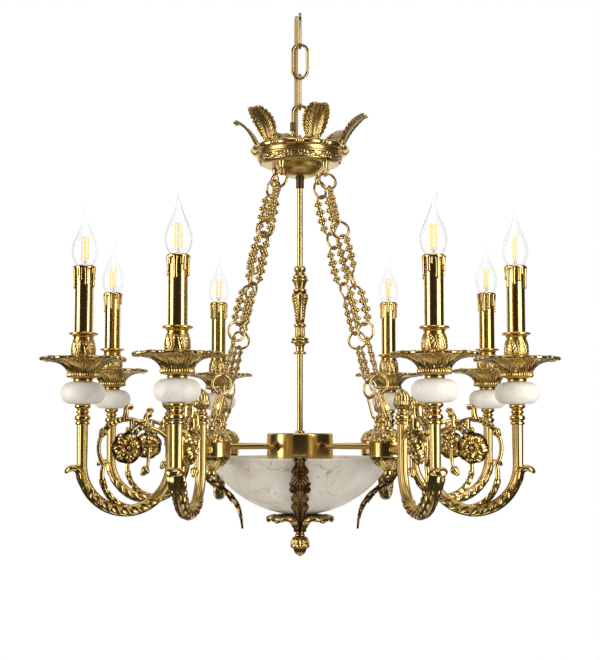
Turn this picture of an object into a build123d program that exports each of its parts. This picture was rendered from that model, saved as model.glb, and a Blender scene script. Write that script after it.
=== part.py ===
import math
import os

from build123d import *

os.makedirs("parts", exist_ok=True)

# Driving dimensions, all in millimetres and degrees.
# Z is up, the front is -Y, and the origin is the inner top of the upper chain link.

# Hanging chain
link_wire = 4.8
link_inner_length = 47.0
link_inner_width = 17.4
running_gap = 0.15
quick_mouth = 6.0
quick_mouth_drop = 6.5
quick_sleeve_length = 13.0
quick_sleeve_wall = 1.9
cable_diameter = 6.0
cable_gap = 0.35
bush_wall = 0.7

# Crown
crown_drop = 22.0
crown_rim_radius = 69.0
crown_rim_roll = 5.0
crown_depth = 23.0
crown_deck_radius = 57.0
crown_wall = 2.0
crown_turn = 9.0
rim_pearl_pairs = 12
boss_radius = 37.0
boss_height = 17.0
leaf_count = 6
leaf_start = 17.0
leaf_length = 52.0
leaf_width = 38.0
leaf_rise = 48.0
leaf_bend = 62.0
leaf_thickness = 2.4
post_circle_radius = 46.0
post_length = 10.0

# Stem
stem_radius = 4.25
stem_bore_radius = 2.9
coupler_length = 17.0
coupler_radius = 6.6
stem_upper_length = 117.0
baluster_length = 131.0
stem_lower_length = 116.0

# Hub, rods and bowl
hub_radius = 48.5
hub_height = 44.0
hub_wall = 2.2
rod_radius = 3.9
rod_drop = 19.0
nut_height = 4.5
block_height = 10.0
bowl_drop = 35.0
bowl_rim_radius = 136.0
bowl_depth = 84.0
bowl_wall = 7.0
strap_count = 4
strap_width = 30.0
strap_thickness = 3.0
cup_rim_radius = 49.0
cup_height = 25.0
finial_height = 35.0
finial_radius = 13.0
tie_rod_radius = 4.0
tie_rod_end = 9.0

# Arms
quarter_count = 4
spindle_circle_radius = 171.0
spindle_radius = 26.0
spindle_height = 21.0
rod_above_middle = 3.5
peg_length = 6.0
# Turn of each spindle's two arms from its bearing: they were set by hand and differ a little.
arm_turns = [(-30.0, 23.0), (-36.0, 35.0), (-39.0, 37.0), (-23.0, 35.0)]
arm_reach = 180.0
arm_span = 121.0
arm_radius = 7.6
arm_centre_drop = 42.0
leg_length = 53.5
scroll_radius = 38.5
scroll_rise = 22.5
scroll_wire = 2.9
tendril_radius = 1.7
rosette_radius = 19.5
acorn_height = 31.0

# Candles
collar_height = 27.0
bead_height = 29.0
bead_radius = 29.5
pan_radius = 57.0
pan_height = 33.0
pan_lobes = 8
cup_top = 95.0
sleeve_length = 90.0
sleeve_radius = 13.1
sleeve_wall = 0.9
sleeve_seat = 4.0
drip_count = 9
bulb_radius = 17.5
bulb_height = 79.0
bulb_neck = 10.4
lamp_thread_radius = 7.0
lamp_thread_length = 26.0
holder_drop = 8.0
nipple_radius = 4.8

# Decorative chains
eye_radius = 5.0
eye_wire = 1.7
eye_seat = 27.0
ring_radius = 13.2
ring_wire = 2.0
flower_link_width = 16.5
flower_link_wire = 1.6
chain_quick_length = 36.0
chain_quick_width = 10.0
chain_quick_wire = 1.9
chain_sleeve_wall = 1.5
chain_ring_count = 5
# Turn of every ring and link from the plane that faces the front, from the crown down.
front_chain_turns = [-29.0, 80.0, -20.0, 40.0, -80.0, -20.0, 38.0, 98.0, 23.0, -60.0]
back_chain_turns = [50.0, -10.0, 55.0, -5.0, 60.0, -58.0, 2.0, 65.0, -50.0, 30.0]

# Fits
fit_gap = 0.1
slide_gap = 0.15
thread_gap = 0.3

standing = (Align.CENTER, Align.CENTER, Align.MIN)


def turned(outline, bore=0.0):
    """Solid of revolution about Z. A step of four numbers is an arc through its first two."""
    start = outline[0]
    edges = [Line((bore, start[1]), start)]
    at = start
    for step in outline[1:]:
        end = tuple(step[-2:])
        if len(step) == 2:
            edges.append(Line(at, end))
        else:
            edges.append(ThreePointArc(at, tuple(step[:2]), end))
        at = end
    if at[0] - bore > 1e-6:
        edges.append(Line(at, (bore, at[1])))
    edges.append(Line((bore, at[1]), (bore, start[1])))
    return revolve(Plane.XZ * make_face(edges), Axis.Z)


def polar(radius, degrees):
    """Point at a radius and a bearing that starts at the front and turns towards +X."""
    turn = math.radians(degrees)
    return (radius * math.sin(turn), -radius * math.cos(turn))


def around(count, start=0.0):
    """Even bearings round the axis."""
    return [start + 360.0 * k / count for k in range(count)]


def facing(degrees, radius=0.0, height=0.0):
    """Location at a bearing whose local X points outward."""
    x, y = polar(radius, degrees)
    return Location((x, y, height), (0, 0, degrees - 90.0))


def save(name, solids):
    """Write one node."""
    parts = list(solids) if isinstance(solids, (list, tuple)) else [solids]
    shape = parts[0] if len(parts) == 1 else Compound(children=parts)
    export_step(shape, f"parts/{name}.step")


def one(shape):
    """The single solid of a boolean result."""
    return max(shape.solids(), key=lambda solid: solid.volume)


def spoke(degrees, start, end, radius, height=0.0):
    """Round bar along a bearing, between two distances from the axis."""
    bar = Cylinder(radius, end - start, align=standing)
    return facing(degrees, 0, height) * Pos(start, 0, 0) * Rot(0, 90, 0) * bar


def lobed_face(radius, depth, count):
    """Flat outline with round lobes between notches."""
    edges = []
    for bearing in around(count):
        half = 180.0 / count
        edges.append(ThreePointArc(polar(radius - depth, bearing - half), polar(radius, bearing),
                                   polar(radius - depth, bearing + half)))
    return make_face(edges)


def leaf_face(length, width, lobes, base_share, tip_share):
    """Leaf outline along +X with lobed sides, symmetric about X."""
    def half_width(share):
        bulge = math.sin(math.pi * min(1.0, 0.18 + 0.82 * share))
        ends = base_share + (tip_share - base_share) * share
        return 0.5 * width * max(ends, bulge)

    side = [(0.0, half_width(0.0))]
    arcs = []
    for k in range(lobes):
        near, far = k / lobes, (k + 1) / lobes
        middle = 0.45 * near + 0.55 * far
        notch = 0.86 if k < lobes - 1 else 1.0
        end = (length * far, notch * half_width(far))
        arcs.append((side[-1], (length * middle, half_width(middle)), end))
        side.append(end)
    edges = [ThreePointArc(a, b, c) for a, b, c in arcs]
    edges += [ThreePointArc((a[0], -a[1]), (b[0], -b[1]), (c[0], -c[1])) for a, b, c in arcs]
    edges.append(Line((0, side[0][1]), (0, -side[0][1])))
    edges.append(Line((length, side[-1][1]), (length, -side[-1][1])))
    return make_face(edges)


def bent_leaf(length, width, thickness, rise, bend, lobes):
    """Leaf that climbs at an angle from the origin and bends outward, in the XZ plane."""
    half = math.radians(bend / 2)
    radius = length / (2 * math.sin(half))
    low = -radius * math.cos(half)

    def on(r, degrees):
        turn = math.radians(degrees)
        return (length / 2 + r * math.sin(turn), low + r * math.cos(turn))

    inner, outer = radius - thickness / 2, radius + thickness / 2
    end = bend / 2
    sheet = make_face([
        ThreePointArc(on(outer, -end), on(outer, 0), on(outer, end)),
        Line(on(outer, end), on(inner, end)),
        ThreePointArc(on(inner, end), on(inner, 0), on(inner, -end)),
        Line(on(inner, -end), on(outer, -end)),
    ])
    blade = extrude(sheet, width, both=True)
    reach = 2 * radius
    mask = Plane.XZ * leaf_face(length, width, lobes, 0.62, 0.30)
    blade = blade & extrude(mask, reach, both=True)
    turn = math.radians(rise)
    seat = Plane(origin=(0, 0, 0), x_dir=(math.cos(turn), 0, math.sin(turn)), z_dir=(0, -1, 0))
    return one(seat.location * blade)


def wire_loop(length, width, wire, mouth=None):
    """Long link in the XZ plane, centred; inner length and width; an optional mouth in its -X leg."""
    side = (width + wire) / 2
    bend = length / 2 - width / 2
    top = (0, bend + side)
    if mouth is None:
        edges = [
            Line((side, 0), (side, bend)),
            ThreePointArc((side, bend), top, (-side, bend)),
            Line((-side, bend), (-side, -bend)),
            ThreePointArc((-side, -bend), (0, -top[1]), (side, -bend)),
            Line((side, -bend), (side, 0)),
        ]
        section = Pos(side, 0, 0) * Circle(wire / 2)
    else:
        low, high = mouth
        edges = [
            Line((-side, high), (-side, bend)),
            ThreePointArc((-side, bend), top, (side, bend)),
            Line((side, bend), (side, -bend)),
            ThreePointArc((side, -bend), (0, -top[1]), (-side, -bend)),
            Line((-side, -bend), (-side, low)),
        ]
        section = Pos(-side, 0, high) * Circle(wire / 2)
    path = Wire([Plane.XZ * edge for edge in edges])
    return one(sweep(section, path=path))


def tube(outer, inner, length):
    """Plain tube standing on z = 0."""
    return Cylinder(outer, length, align=standing) - Cylinder(inner, length, align=standing)


def eye_bolt(shank_top, shank_bottom, length, radius, wire):
    """Cone from z = 0 upward that carries a standing ring in the XZ plane."""
    cone = turned([(shank_bottom, 0), (shank_top, length)])
    ring = Pos(0, 0, length + radius) * Rot(90, 0, 0) * Torus(radius, wire)
    return one(cone + ring)


# Levels, from the hang point down
wire_radius = link_wire / 2
link_span = link_inner_length + link_wire
link_step = link_inner_length - running_gap
bow_tops = [wire_radius - k * link_step for k in range(5)]
loop_z = bow_tops[4]
rim_z = loop_z - crown_drop
deck_z = rim_z - crown_depth
boss_z = deck_z - boss_height
coupler_z = boss_z - coupler_length
baluster_top_z = coupler_z - stem_upper_length
baluster_z = baluster_top_z - baluster_length
hub_top_z = baluster_z - stem_lower_length
rod_z = hub_top_z - rod_drop
bowl_rim_z = hub_top_z - bowl_drop
spindle_top_z = rod_z + spindle_height / 2 - rod_above_middle
spindle_mid_z = spindle_top_z - spindle_height / 2
arm_centre_z = hub_top_z - arm_centre_drop
leg_top_z = arm_centre_z + leg_length
bead_z = leg_top_z + collar_height
pan_z = bead_z + bead_height
pan_rim_z = pan_z + pan_height
cup_z = leg_top_z + cup_top + collar_height
sleeve_top_z = cup_z + sleeve_length
quarter_bearings = around(quarter_count, 45.0)
post_bearings = around(quarter_count, 45.0 + crown_turn)


def link_at(index, face_on, mouth=None):
    """One link of the hanging chain in its place."""
    shape = wire_loop(link_inner_length, link_inner_width, link_wire, mouth)
    middle = bow_tops[index] - link_span / 2
    return Pos(0, 0, middle) * Rot(0, 0, 0 if face_on else 90) * shape


def quick_sleeve(length, wire, wall):
    """Screw sleeve with a grip of six flats, centred on the wire."""
    outer = wire / 2 + wall
    body = extrude(RegularPolygon(outer, 6), length / 2, both=True)
    body = body & Cylinder(outer * 0.96, length)
    return one(body - Cylinder(wire / 2 + slide_gap, length))


def hanging_chain():
    """Three links, the quick link and its sleeve."""
    save("chain_link_top", link_at(0, False))
    save("chain_link_middle", link_at(1, True))
    save("chain_link_bottom", link_at(2, False))
    mouth = (-quick_mouth_drop - quick_mouth / 2, -quick_mouth_drop + quick_mouth / 2)
    save("hanging_quick_link", link_at(3, True, mouth))
    side = (link_inner_width + link_wire) / 2
    middle = bow_tops[3] - link_span / 2 - quick_mouth_drop
    sleeve = quick_sleeve(quick_sleeve_length, link_wire, quick_sleeve_wall)
    save("hanging_quick_link_sleeve", Pos(-side, 0, middle) * sleeve)


def supply_cable():
    """Cable beside the chain, with its three cores bare at the top, and its bush in the crown."""
    radius = cable_diameter / 2
    off = wire_radius + radius + cable_gap
    bottom = deck_z - boss_height * 0.45
    top = -link_wire
    sheath = Pos(-off, off, bottom) * Cylinder(radius, top - bottom, align=standing)
    cores = []
    for bearing in around(3):
        x, y = polar(radius * 0.52, bearing)
        cores.append(Pos(-off + x, off + y, top) * Cylinder(radius * 0.4, 2 * radius, align=standing))
    save("supply_cable", [sheath] + cores)
    seat_z = deck_z + crown_wall
    bush = turned([
        (radius + bush_wall, deck_z), (radius + bush_wall, seat_z),
        (radius + 1.6 * bush_wall, seat_z), (radius + 1.4 * bush_wall, seat_z + 2 * crown_wall),
    ], radius + fit_gap)
    save("cable_bush", Pos(-off, off, 0) * bush)
    return off


def crown(cable_off):
    """Loop, dish, rim, boss, leaves and chain posts."""
    shank = math.hypot(cable_off, cable_off) - cable_diameter / 2 - 2 * bush_wall
    loop_radius = link_inner_width / 2
    ring = Rot(0, 0, 90) * Rot(90, 0, 0) * Torus(loop_radius, wire_radius)
    ring = Pos(0, 0, loop_z - loop_radius) * ring
    foot_z = deck_z + crown_wall
    stalk_top = loop_z - 2 * loop_radius
    stalk = Pos(0, 0, foot_z) * Cylinder(shank, stalk_top - foot_z, align=standing)
    save("crown_loop", one(ring + stalk))

    band_top = rim_z - crown_depth * 0.48
    lip = crown_rim_radius - crown_rim_roll
    edge = lip - fit_gap
    flare = edge - crown_deck_radius
    ledge = crown_depth * 0.065

    def out(share):
        return crown_deck_radius + flare * share

    dish = turned([
        (crown_deck_radius, deck_z),
        (out(0.80), (deck_z + band_top) / 2 - crown_wall / 2, out(0.87), band_top),
        (out(0.65), band_top + ledge),
        (out(0.72), (band_top + ledge + rim_z) / 2, edge, rim_z),
        (edge - crown_wall, rim_z),
        (out(0.32), band_top + 3 * ledge, out(0.29), band_top),
        (out(0.0), deck_z + 2.5 * crown_wall, out(0.0) - 1.5 * crown_wall, deck_z + crown_wall),
    ])
    hole = Cylinder(cable_diameter / 2 + bush_wall + fit_gap, 8 * crown_wall)
    dish = one(dish - Pos(-cable_off, cable_off, deck_z) * hole)
    save("crown_dish", dish)

    roll = Pos(0, 0, rim_z) * Torus(crown_rim_radius, crown_rim_roll)
    roll = roll - Pos(0, 0, rim_z) * Cylinder(lip, 4 * crown_rim_roll)
    half_step = 180.0 / rim_pearl_pairs
    pearls = []
    for bearing in around(rim_pearl_pairs):
        for side in (-0.16, 0.16):
            x, y = polar(crown_rim_radius + crown_rim_roll * 0.45, bearing + side * half_step)
            pearls.append(Pos(x, y, rim_z) * Sphere(crown_rim_roll * 0.8))
    save("crown_rim", one(roll + pearls))

    boss_wall = 1.5 * crown_wall
    swell_z = boss_z + boss_height * 0.3
    boss = turned([
        (coupler_radius, boss_z), (boss_radius * 0.72, swell_z, boss_radius, deck_z),
    ], stem_bore_radius)
    hollow = turned([
        (coupler_radius, boss_z + boss_wall),
        (boss_radius * 0.66, swell_z + boss_wall, boss_radius - 2.5 * crown_wall, deck_z),
    ])
    save("crown_boss", one(boss - hollow))

    leaf = bent_leaf(leaf_length, leaf_width, leaf_thickness, leaf_rise, leaf_bend, 5)
    foot = Box(6 * leaf_thickness, leaf_width * 0.5, 2 * leaf_thickness)
    leaf = one(leaf + Pos(-leaf_thickness, 0, -leaf_thickness) * foot)
    leaf_z = rim_z + leaf_thickness
    clear = Pos(0, 0, rim_z) * Torus(crown_rim_radius, crown_rim_roll + fit_gap / 2)
    below = Pos(0, 0, rim_z - leaf_length) * Cylinder(2 * crown_rim_radius, 2 * leaf_length)
    leaves = []
    for bearing in around(leaf_count, leaf_start):
        placed = facing(bearing, crown_rim_radius - crown_rim_roll - 1, leaf_z) * leaf
        leaves.append(one(placed - clear - below))
    save("crown_leaves", leaves)

    post = Rot(180, 0, 0) * eye_bolt(3.6, 5.2, post_length, eye_radius, eye_wire)
    save("crown_chain_posts", [facing(b, post_circle_radius, deck_z) * post for b in post_bearings])


def baluster():
    """Turned middle of the stem, drawn from its foot upward in shares of its height."""
    unit = baluster_length / 131.0

    def at(height):
        return baluster_z + height * unit

    return turned([
        (8.8, at(0)), (9.6, at(1.6), 8.8, at(3.2)), (6.4, at(5)), (6.2, at(12)), (9, at(15)),
        (12.9, at(16.5)), (13.6, at(18.2), 12.9, at(20)), (11.5, at(21)), (12.9, at(22.5), 11.6, at(24)),
        (8.6, at(26)), (8.6, at(40)), (10.1, at(41.5), 8.8, at(45)), (8.0, at(48)),
        (8.6, at(62), 12.3, at(81)), (12.9, at(86), 10, at(91)), (7, at(92.5)),
        (10.1, at(94.5), 7, at(97)), (7.6, at(100)), (10.8, at(108)), (12.5, at(110), 10.8, at(112)),
        (9.6, at(113)), (7, at(122)), (8.9, at(126.5), 7.2, at(131)),
    ], stem_bore_radius)


def stem():
    """Coupler, tubes and baluster, standing on one another."""
    coupler = turned([
        (stem_radius + 0.9, coupler_z), (coupler_radius * 0.9, coupler_z + 1.2),
        (coupler_radius * 0.9, boss_z - 3.4), (coupler_radius, boss_z - 2.6), (coupler_radius, boss_z),
    ], stem_bore_radius)
    save("stem_coupler", coupler)
    upper = tube(stem_radius, stem_bore_radius, stem_upper_length)
    lower = tube(stem_radius, stem_bore_radius, stem_lower_length)
    save("stem_upper_tube", Pos(0, 0, baluster_top_z) * upper)
    save("stem_baluster", baluster())
    save("stem_lower_tube", Pos(0, 0, hub_top_z) * lower)


def rod_cut(bearing, radius):
    """Hole for a hub rod along its bearing."""
    return spoke(bearing, 0, spindle_circle_radius, radius, rod_z)


def hub():
    """Drum with its floor, the terminal block, rods with nuts and the tie rod."""
    floor_z = hub_top_z - hub_height
    drum = turned([
        (hub_radius, floor_z), (hub_radius, hub_top_z - 3),
        (hub_radius - 0.9, hub_top_z - 0.9, hub_radius - 3, hub_top_z),
    ])
    room = Cylinder(hub_radius - hub_wall, hub_height - hub_wall, align=standing)
    drum = drum - Pos(0, 0, floor_z) * room
    for bearing in quarter_bearings:
        drum = drum - rod_cut(bearing, rod_radius + fit_gap)
    wire_hole = Pos(0, 0, hub_top_z - hub_wall) * Cylinder(stem_bore_radius, 3 * hub_wall)
    save("hub_drum", one(drum - wire_hole))

    plate_radius = hub_radius - hub_wall - fit_gap
    plate = Pos(0, 0, floor_z) * tube(plate_radius, tie_rod_radius + fit_gap, hub_wall)
    save("hub_floor", plate)
    block = Box(hub_radius * 0.7, hub_radius * 0.28, block_height, align=standing)
    save("terminal_block", Pos(0, hub_radius * 0.42, floor_z + hub_wall) * block)

    seat = spindle_circle_radius - spindle_radius
    rods = [spoke(b, hub_radius - 8, seat + peg_length, rod_radius, rod_z) for b in quarter_bearings]
    save("hub_rods", rods)
    nut_width = 2 * rod_radius + 1
    nut = extrude(RegularPolygon(nut_width, 6), nut_height) - Cylinder(rod_radius + fit_gap, 4 * nut_height)
    nuts = []
    for bearing in quarter_bearings:
        placed = facing(bearing, 0, rod_z) * Pos(hub_radius - 0.6, 0, 0) * Rot(0, 90, 0) * nut
        nuts.append(one(placed - Pos(0, 0, rod_z) * Cylinder(hub_radius + fit_gap / 2, hub_height)))
    save("hub_rod_nuts", nuts)

    tip_z = bowl_rim_z - bowl_depth - cup_height - tie_rod_end
    rod_top = hub_top_z - hub_wall
    tie = Pos(0, 0, tip_z) * tube(tie_rod_radius, tie_rod_radius * 0.55, rod_top - tip_z)
    save("tie_rod", tie)


def bowl():
    """Stone bowl, its four straps, the cup under it and the finial."""
    ball = (bowl_rim_radius ** 2 + bowl_depth ** 2) / (2 * bowl_depth)
    centre_z = bowl_rim_z - bowl_depth + ball
    low_z = bowl_rim_z - bowl_depth

    def cap(radius):
        return Pos(0, 0, centre_z) * Sphere(radius)

    above = Pos(0, 0, bowl_rim_z + ball) * Box(4 * ball, 4 * ball, 2 * ball)
    shell = cap(ball) - cap(ball - bowl_wall) - above
    shell = shell - Pos(0, 0, low_z) * Cylinder(tie_rod_radius + 1, 6 * bowl_wall)
    save("stone_bowl", one(shell))

    gap = fit_gap / 2

    def on(radius, share):
        """Point on the bowl's section at a share of the way from the rim to its foot."""
        edge = math.asin(bowl_rim_radius / ball)
        turn = edge * (1 - share)
        return (radius * math.sin(turn), centre_z - radius * math.cos(turn))

    inner, outer = ball + gap, ball + gap + strap_thickness
    leave = 0.20
    tail_tip = (bowl_rim_radius * 0.605, low_z - cup_height * 0.84)
    down = math.asin(bowl_rim_radius / ball) * (1 - leave)
    slope = (-math.cos(down), -math.sin(down))
    hook_z = bowl_rim_z + gap
    hook_in = bowl_rim_radius - bowl_wall * 0.8
    rim_out = on(outer, 0)
    section = make_face([
        Line((hook_in, hook_z), (on(inner, 0)[0], hook_z)),
        Line((on(inner, 0)[0], hook_z), on(inner, 0.01)),
        ThreePointArc(on(inner, 0.01), on(inner, leave / 2), on(inner, leave)),
        TangentArc(on(inner, leave), tail_tip, tangent=slope),
        Line(tail_tip, (tail_tip[0] + 1.4, tail_tip[1])),
        TangentArc(on(outer, leave), (tail_tip[0] + 1.4, tail_tip[1]), tangent=slope),
        ThreePointArc(on(outer, leave), on(outer, leave / 2), rim_out),
        ThreePointArc(rim_out, (rim_out[0] + 1.5, hook_z + 3), (rim_out[0] - 2, hook_z + 5)),
        Line((rim_out[0] - 2, hook_z + 5), (hook_in, hook_z + 2.5)),
        Line((hook_in, hook_z + 2.5), (hook_in, hook_z)),
    ])
    band = extrude(Plane.XZ * section, strap_width, both=True)
    drop = hook_z + 6 - tail_tip[1]
    outline = Plane(origin=(0, 0, hook_z + 6), x_dir=(0, 0, -1), z_dir=(1, 0, 0))
    mask = extrude(outline * leaf_face(drop, strap_width, 6, 0.62, 0.2), 2 * bowl_rim_radius)
    strap = one(band & mask)
    save("bowl_straps", [facing(b) * strap for b in around(strap_count)])

    foot_z = low_z - cup_height
    cup = turned([
        (8.5, foot_z), (9.5, foot_z + 2), (14, foot_z + cup_height * 0.55, 28, low_z - 5),
        (cup_rim_radius - 4, low_z - 5.5), (cup_rim_radius, low_z - 3.2, cup_rim_radius - 2, low_z - 1),
        (20, low_z + 2.5), (12, low_z + 2.5),
    ], tie_rod_radius + fit_gap)
    cup = cup & extrude(Pos(0, 0, foot_z - 1) * lobed_face(cup_rim_radius, 5, 8), cup_height + 8)
    cup = one(cup - cap(ball + gap))
    save("bowl_cup", cup)

    tip_z = foot_z - finial_height
    unit = finial_height / 35.0
    bud = turned([
        (0.5, tip_z), (6, tip_z + 4 * unit, 9.5, tip_z + 11 * unit),
        (finial_radius, tip_z + 15 * unit), (finial_radius, tip_z + 19 * unit, 8, tip_z + 27 * unit),
        (4.8, tip_z + 28.5 * unit), (7.4, tip_z + 30.5 * unit, 5.2, tip_z + 32.5 * unit), (6.4, foot_z),
    ])
    bore = Pos(0, 0, foot_z) * Cylinder(tie_rod_radius + fit_gap, 2 * tie_rod_end + 6 * fit_gap)
    save("bowl_finial", one(bud - bore))


def spindles():
    """Collar, cap with chain eye, and hanging cup at the four rod ends."""
    height = spindle_height
    socket_depth = peg_length + 2 * fit_gap

    def collar(turns):
        body = turned([(spindle_radius, 0), (spindle_radius, height)])
        hole = Rot(0, 90, 0) * Cylinder(rod_radius + fit_gap, 2 * socket_depth)
        body = body - Pos(-spindle_radius, 0, rod_z - spindle_top_z + height) * hole
        for turn in turns:
            seat = Rot(0, 0, turn) * Pos(spindle_radius, 0, height / 2) * Rot(0, 90, 0)
            body = body - seat * Cylinder(arm_radius * 0.5 + fit_gap, 2 * socket_depth)
        return one(body)

    cap = turned([
        (spindle_radius - 1.5, 0), (spindle_radius - 1, 2.5),
        (spindle_radius * 0.78, 10.5, spindle_radius * 0.44, 15),
        (spindle_radius * 0.3, 16), (6.5, 18.5, 4.6, 21), (4.0, eye_seat),
    ])
    eye = Pos(0, 0, eye_seat + eye_radius) * Rot(90, 0, 0) * Torus(eye_radius, eye_wire)
    cap = one(cap + eye)
    ball = spindle_radius * 0.245
    cup = turned([
        (ball * 0.45, -17), (ball * 0.9, -15.5), (spindle_radius * 0.5, -12, spindle_radius * 0.85, -4),
        (spindle_radius - 2, 0),
    ])
    cup = one(cup + Pos(0, 0, -17 - ball * 0.75) * Sphere(ball))
    collars, caps, cups = [], [], []
    for bearing, turns in zip(quarter_bearings, arm_turns):
        base = facing(bearing, spindle_circle_radius, spindle_top_z)
        collars.append(base * Pos(0, 0, -height) * collar(turns))
        caps.append(base * cap)
        cups.append(base * Pos(0, 0, -height) * cup)
    save("spindle_collars", collars)
    save("spindle_caps", caps)
    save("spindle_cups", cups)


def arm_shape():
    """One arm in its own plane: X leads away from the spindle axis, Z up from the bend's centre."""
    bend = arm_span / 2
    near, far = arm_reach - arm_span, arm_reach
    middle = (near + far) / 2
    path = Wire([
        Line((near, 0, leg_length), (near, 0, 0)),
        ThreePointArc((near, 0, 0), (middle, 0, -bend), (far, 0, 0)),
        Line((far, 0, 0), (far, 0, leg_length)),
    ])
    pipe = sweep(Pos(near, 0, leg_length) * Circle(arm_radius), path=path)

    lift = arm_radius * 0.42
    first_turn, last_turn = -146.0, -14.0
    leave = math.radians(last_turn)
    round_leaf = bend + lift

    def on(degrees):
        turn = math.radians(degrees)
        return (middle + round_leaf * math.cos(turn), 0, round_leaf * math.sin(turn))

    start, end = on(first_turn), on(last_turn)
    along = (-math.sin(leave), math.cos(leave))
    run = arm_radius * 0.6
    out = (end[0] + run * along[0], 0, end[2] + run * along[1])
    curl = arm_radius * 1.35
    curl_turn = 122.0
    centre = (out[0] + curl * along[1], 0, out[2] - curl * along[0])
    first = math.atan2(out[2] - centre[2], out[0] - centre[0])

    def on_curl(degrees):
        turn = first - math.radians(degrees)
        return (centre[0] + curl * math.cos(turn), 0, centre[2] + curl * math.sin(turn))

    spine = Wire([
        ThreePointArc(start, on((first_turn + last_turn) / 2), end),
        Line(end, out),
        ThreePointArc(out, on_curl(curl_turn / 2), on_curl(curl_turn)),
    ])
    widths = [(0.0, 0.55, 0.3), (0.25, 1.42, 0.62), (0.6, 1.5, 0.62), (0.85, 1.35, 0.55), (1.0, 0.8, 0.25)]
    sections = []
    for share, wide, deep in widths:
        plane = Plane(origin=spine @ share, x_dir=(0, 1, 0), z_dir=spine % share)
        sections.append(plane * Ellipse(arm_radius * wide, arm_radius * deep))
    leaf = sweep(sections, path=spine, multisection=True)

    level = spindle_mid_z - arm_centre_z
    stub_start = spindle_radius - 4
    stub = Cylinder(arm_radius * 0.8, near - stub_start, align=standing)
    stub = Pos(stub_start, 0, level) * Rot(0, 90, 0) * stub
    stub = stub - Pos(0, 0, level) * Cylinder(spindle_radius + fit_gap / 2, 4 * arm_radius)
    peg = Cylinder(arm_radius * 0.5, near - spindle_radius, align=standing)
    peg = Pos(spindle_radius - peg_length, 0, level) * Rot(0, 90, 0) * peg
    return one(pipe + leaf + stub + peg)


def scroll_shape():
    """Scroll inside the arm's bend: stem, ring, rosette and tendrils in the arm's plane."""
    near, far = arm_reach - arm_span, arm_reach
    middle = (near + far) / 2

    def on(radius, degrees, lift=scroll_rise):
        turn = math.radians(degrees)
        return (middle + radius * math.cos(turn), 0, lift + radius * math.sin(turn))

    def rod(path, radius):
        section = Plane(origin=path @ 0, z_dir=path % 0) * Circle(radius)
        return sweep(section, path=path)

    ring = scroll_radius
    root = (middle - arm_span * 0.10, 0, -arm_span * 0.5 + arm_radius * 0.4)
    main = Wire([
        ThreePointArc(root, (middle + ring * 0.52, 0, -arm_span * 0.37), on(ring, -35)),
        ThreePointArc(on(ring, -35), on(ring, 50), on(ring, 135)),
        Line(on(ring, 135), (near, 0, on(ring, 135)[2] - ring * 0.42)),
    ])
    stem = rod(main, scroll_wire)
    low_root = (middle - arm_span * 0.18, 0, -arm_span * 0.46 + arm_radius * 0.4)
    hold = Wire([ThreePointArc(low_root, (middle - ring * 0.12, 0, -arm_span * 0.28), on(ring * 0.3, -95))])
    stalk = rod(hold, scroll_wire * 0.85)
    branch = Wire([ThreePointArc(on(ring, 118), on(ring * 0.72, 112), on(ring * 0.3, 85))])
    twig = rod(branch, scroll_wire * 0.85)
    tendrils = []
    for bearing, inward in ((84, False), (60, True), (124, False)):
        turn = -1 if inward else 1
        foot = on(ring, bearing)
        top = on(ring + turn * ring * 0.30, bearing - 4)
        tip = on(ring + turn * ring * 0.24, bearing + 9)
        climb = Wire([ThreePointArc(foot, on(ring + turn * ring * 0.18, bearing - 7), top)])
        hook = Wire([ThreePointArc(top, on(ring + turn * ring * 0.34, bearing + 4), tip)])
        tendrils.append(rod(climb, tendril_radius))
        tendrils.append(rod(hook, tendril_radius))
        tendrils.append(Pos(*top) * Sphere(tendril_radius))
        tendrils.append(Pos(*tip) * Sphere(tendril_radius * 1.35))
    disc = turned([
        (rosette_radius, -2.2), (rosette_radius, 2.2), (rosette_radius * 0.72, 5.5, rosette_radius * 0.3, 5),
        (rosette_radius * 0.22, 7.5, 0.5, 8),
    ])
    petals = lobed_face(rosette_radius, rosette_radius * 0.12, 9)
    flat = extrude(petals, rosette_radius, both=True)
    rosette = Pos(middle, 0, scroll_rise) * Rot(90, 0, 0) * ((disc + Rot(180, 0, 0) * disc) & flat)
    whole = stem + [stalk, twig, rosette] + tendrils
    high = 1.4 * leg_length
    path = Wire([
        Line((near, 0, high), (near, 0, 0)),
        ThreePointArc((near, 0, 0), (middle, 0, -arm_span / 2), (far, 0, 0)),
        Line((far, 0, 0), (far, 0, high)),
    ])
    keep_out = sweep(Pos(near, 0, high) * Circle(arm_radius + fit_gap / 2), path=path)
    return one(whole - keep_out)


def arm_places():
    """Location of every arm's plane, two to a spindle, with the spindle's number."""
    places = []
    for number, bearing in enumerate(quarter_bearings):
        for turn in arm_turns[number]:
            base = facing(bearing, spindle_circle_radius, arm_centre_z) * Rot(0, 0, turn)
            places.append((number, base))
    return places


def leg_collar_shape():
    """Turned collar under the acorn on the inner leg."""
    tall = collar_height * 0.62
    return turned([
        (arm_radius + 0.8, 0), (arm_radius + 2.2, tall * 0.12, arm_radius + 0.8, tall * 0.25),
        (arm_radius - 0.5, tall * 0.34), (arm_radius + 2.4, tall * 0.56, arm_radius - 0.5, tall * 0.8),
        (arm_radius + 0.8, tall * 0.9, arm_radius, tall),
    ])


def acorn_shape():
    """Acorn finial on the leg collar, from z = 0 up."""
    unit = acorn_height / 31.0
    return turned([
        (5.2, 0), (6.4, 2 * unit, 4.4, 4 * unit), (5, 5.5 * unit), (10.2, 10 * unit, 10.6, 14 * unit),
        (9.2, 15.5 * unit), (8.6, 21 * unit, 4.5, 27.5 * unit), (2, 29.5 * unit), (0.6, 31 * unit),
    ])


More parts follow.
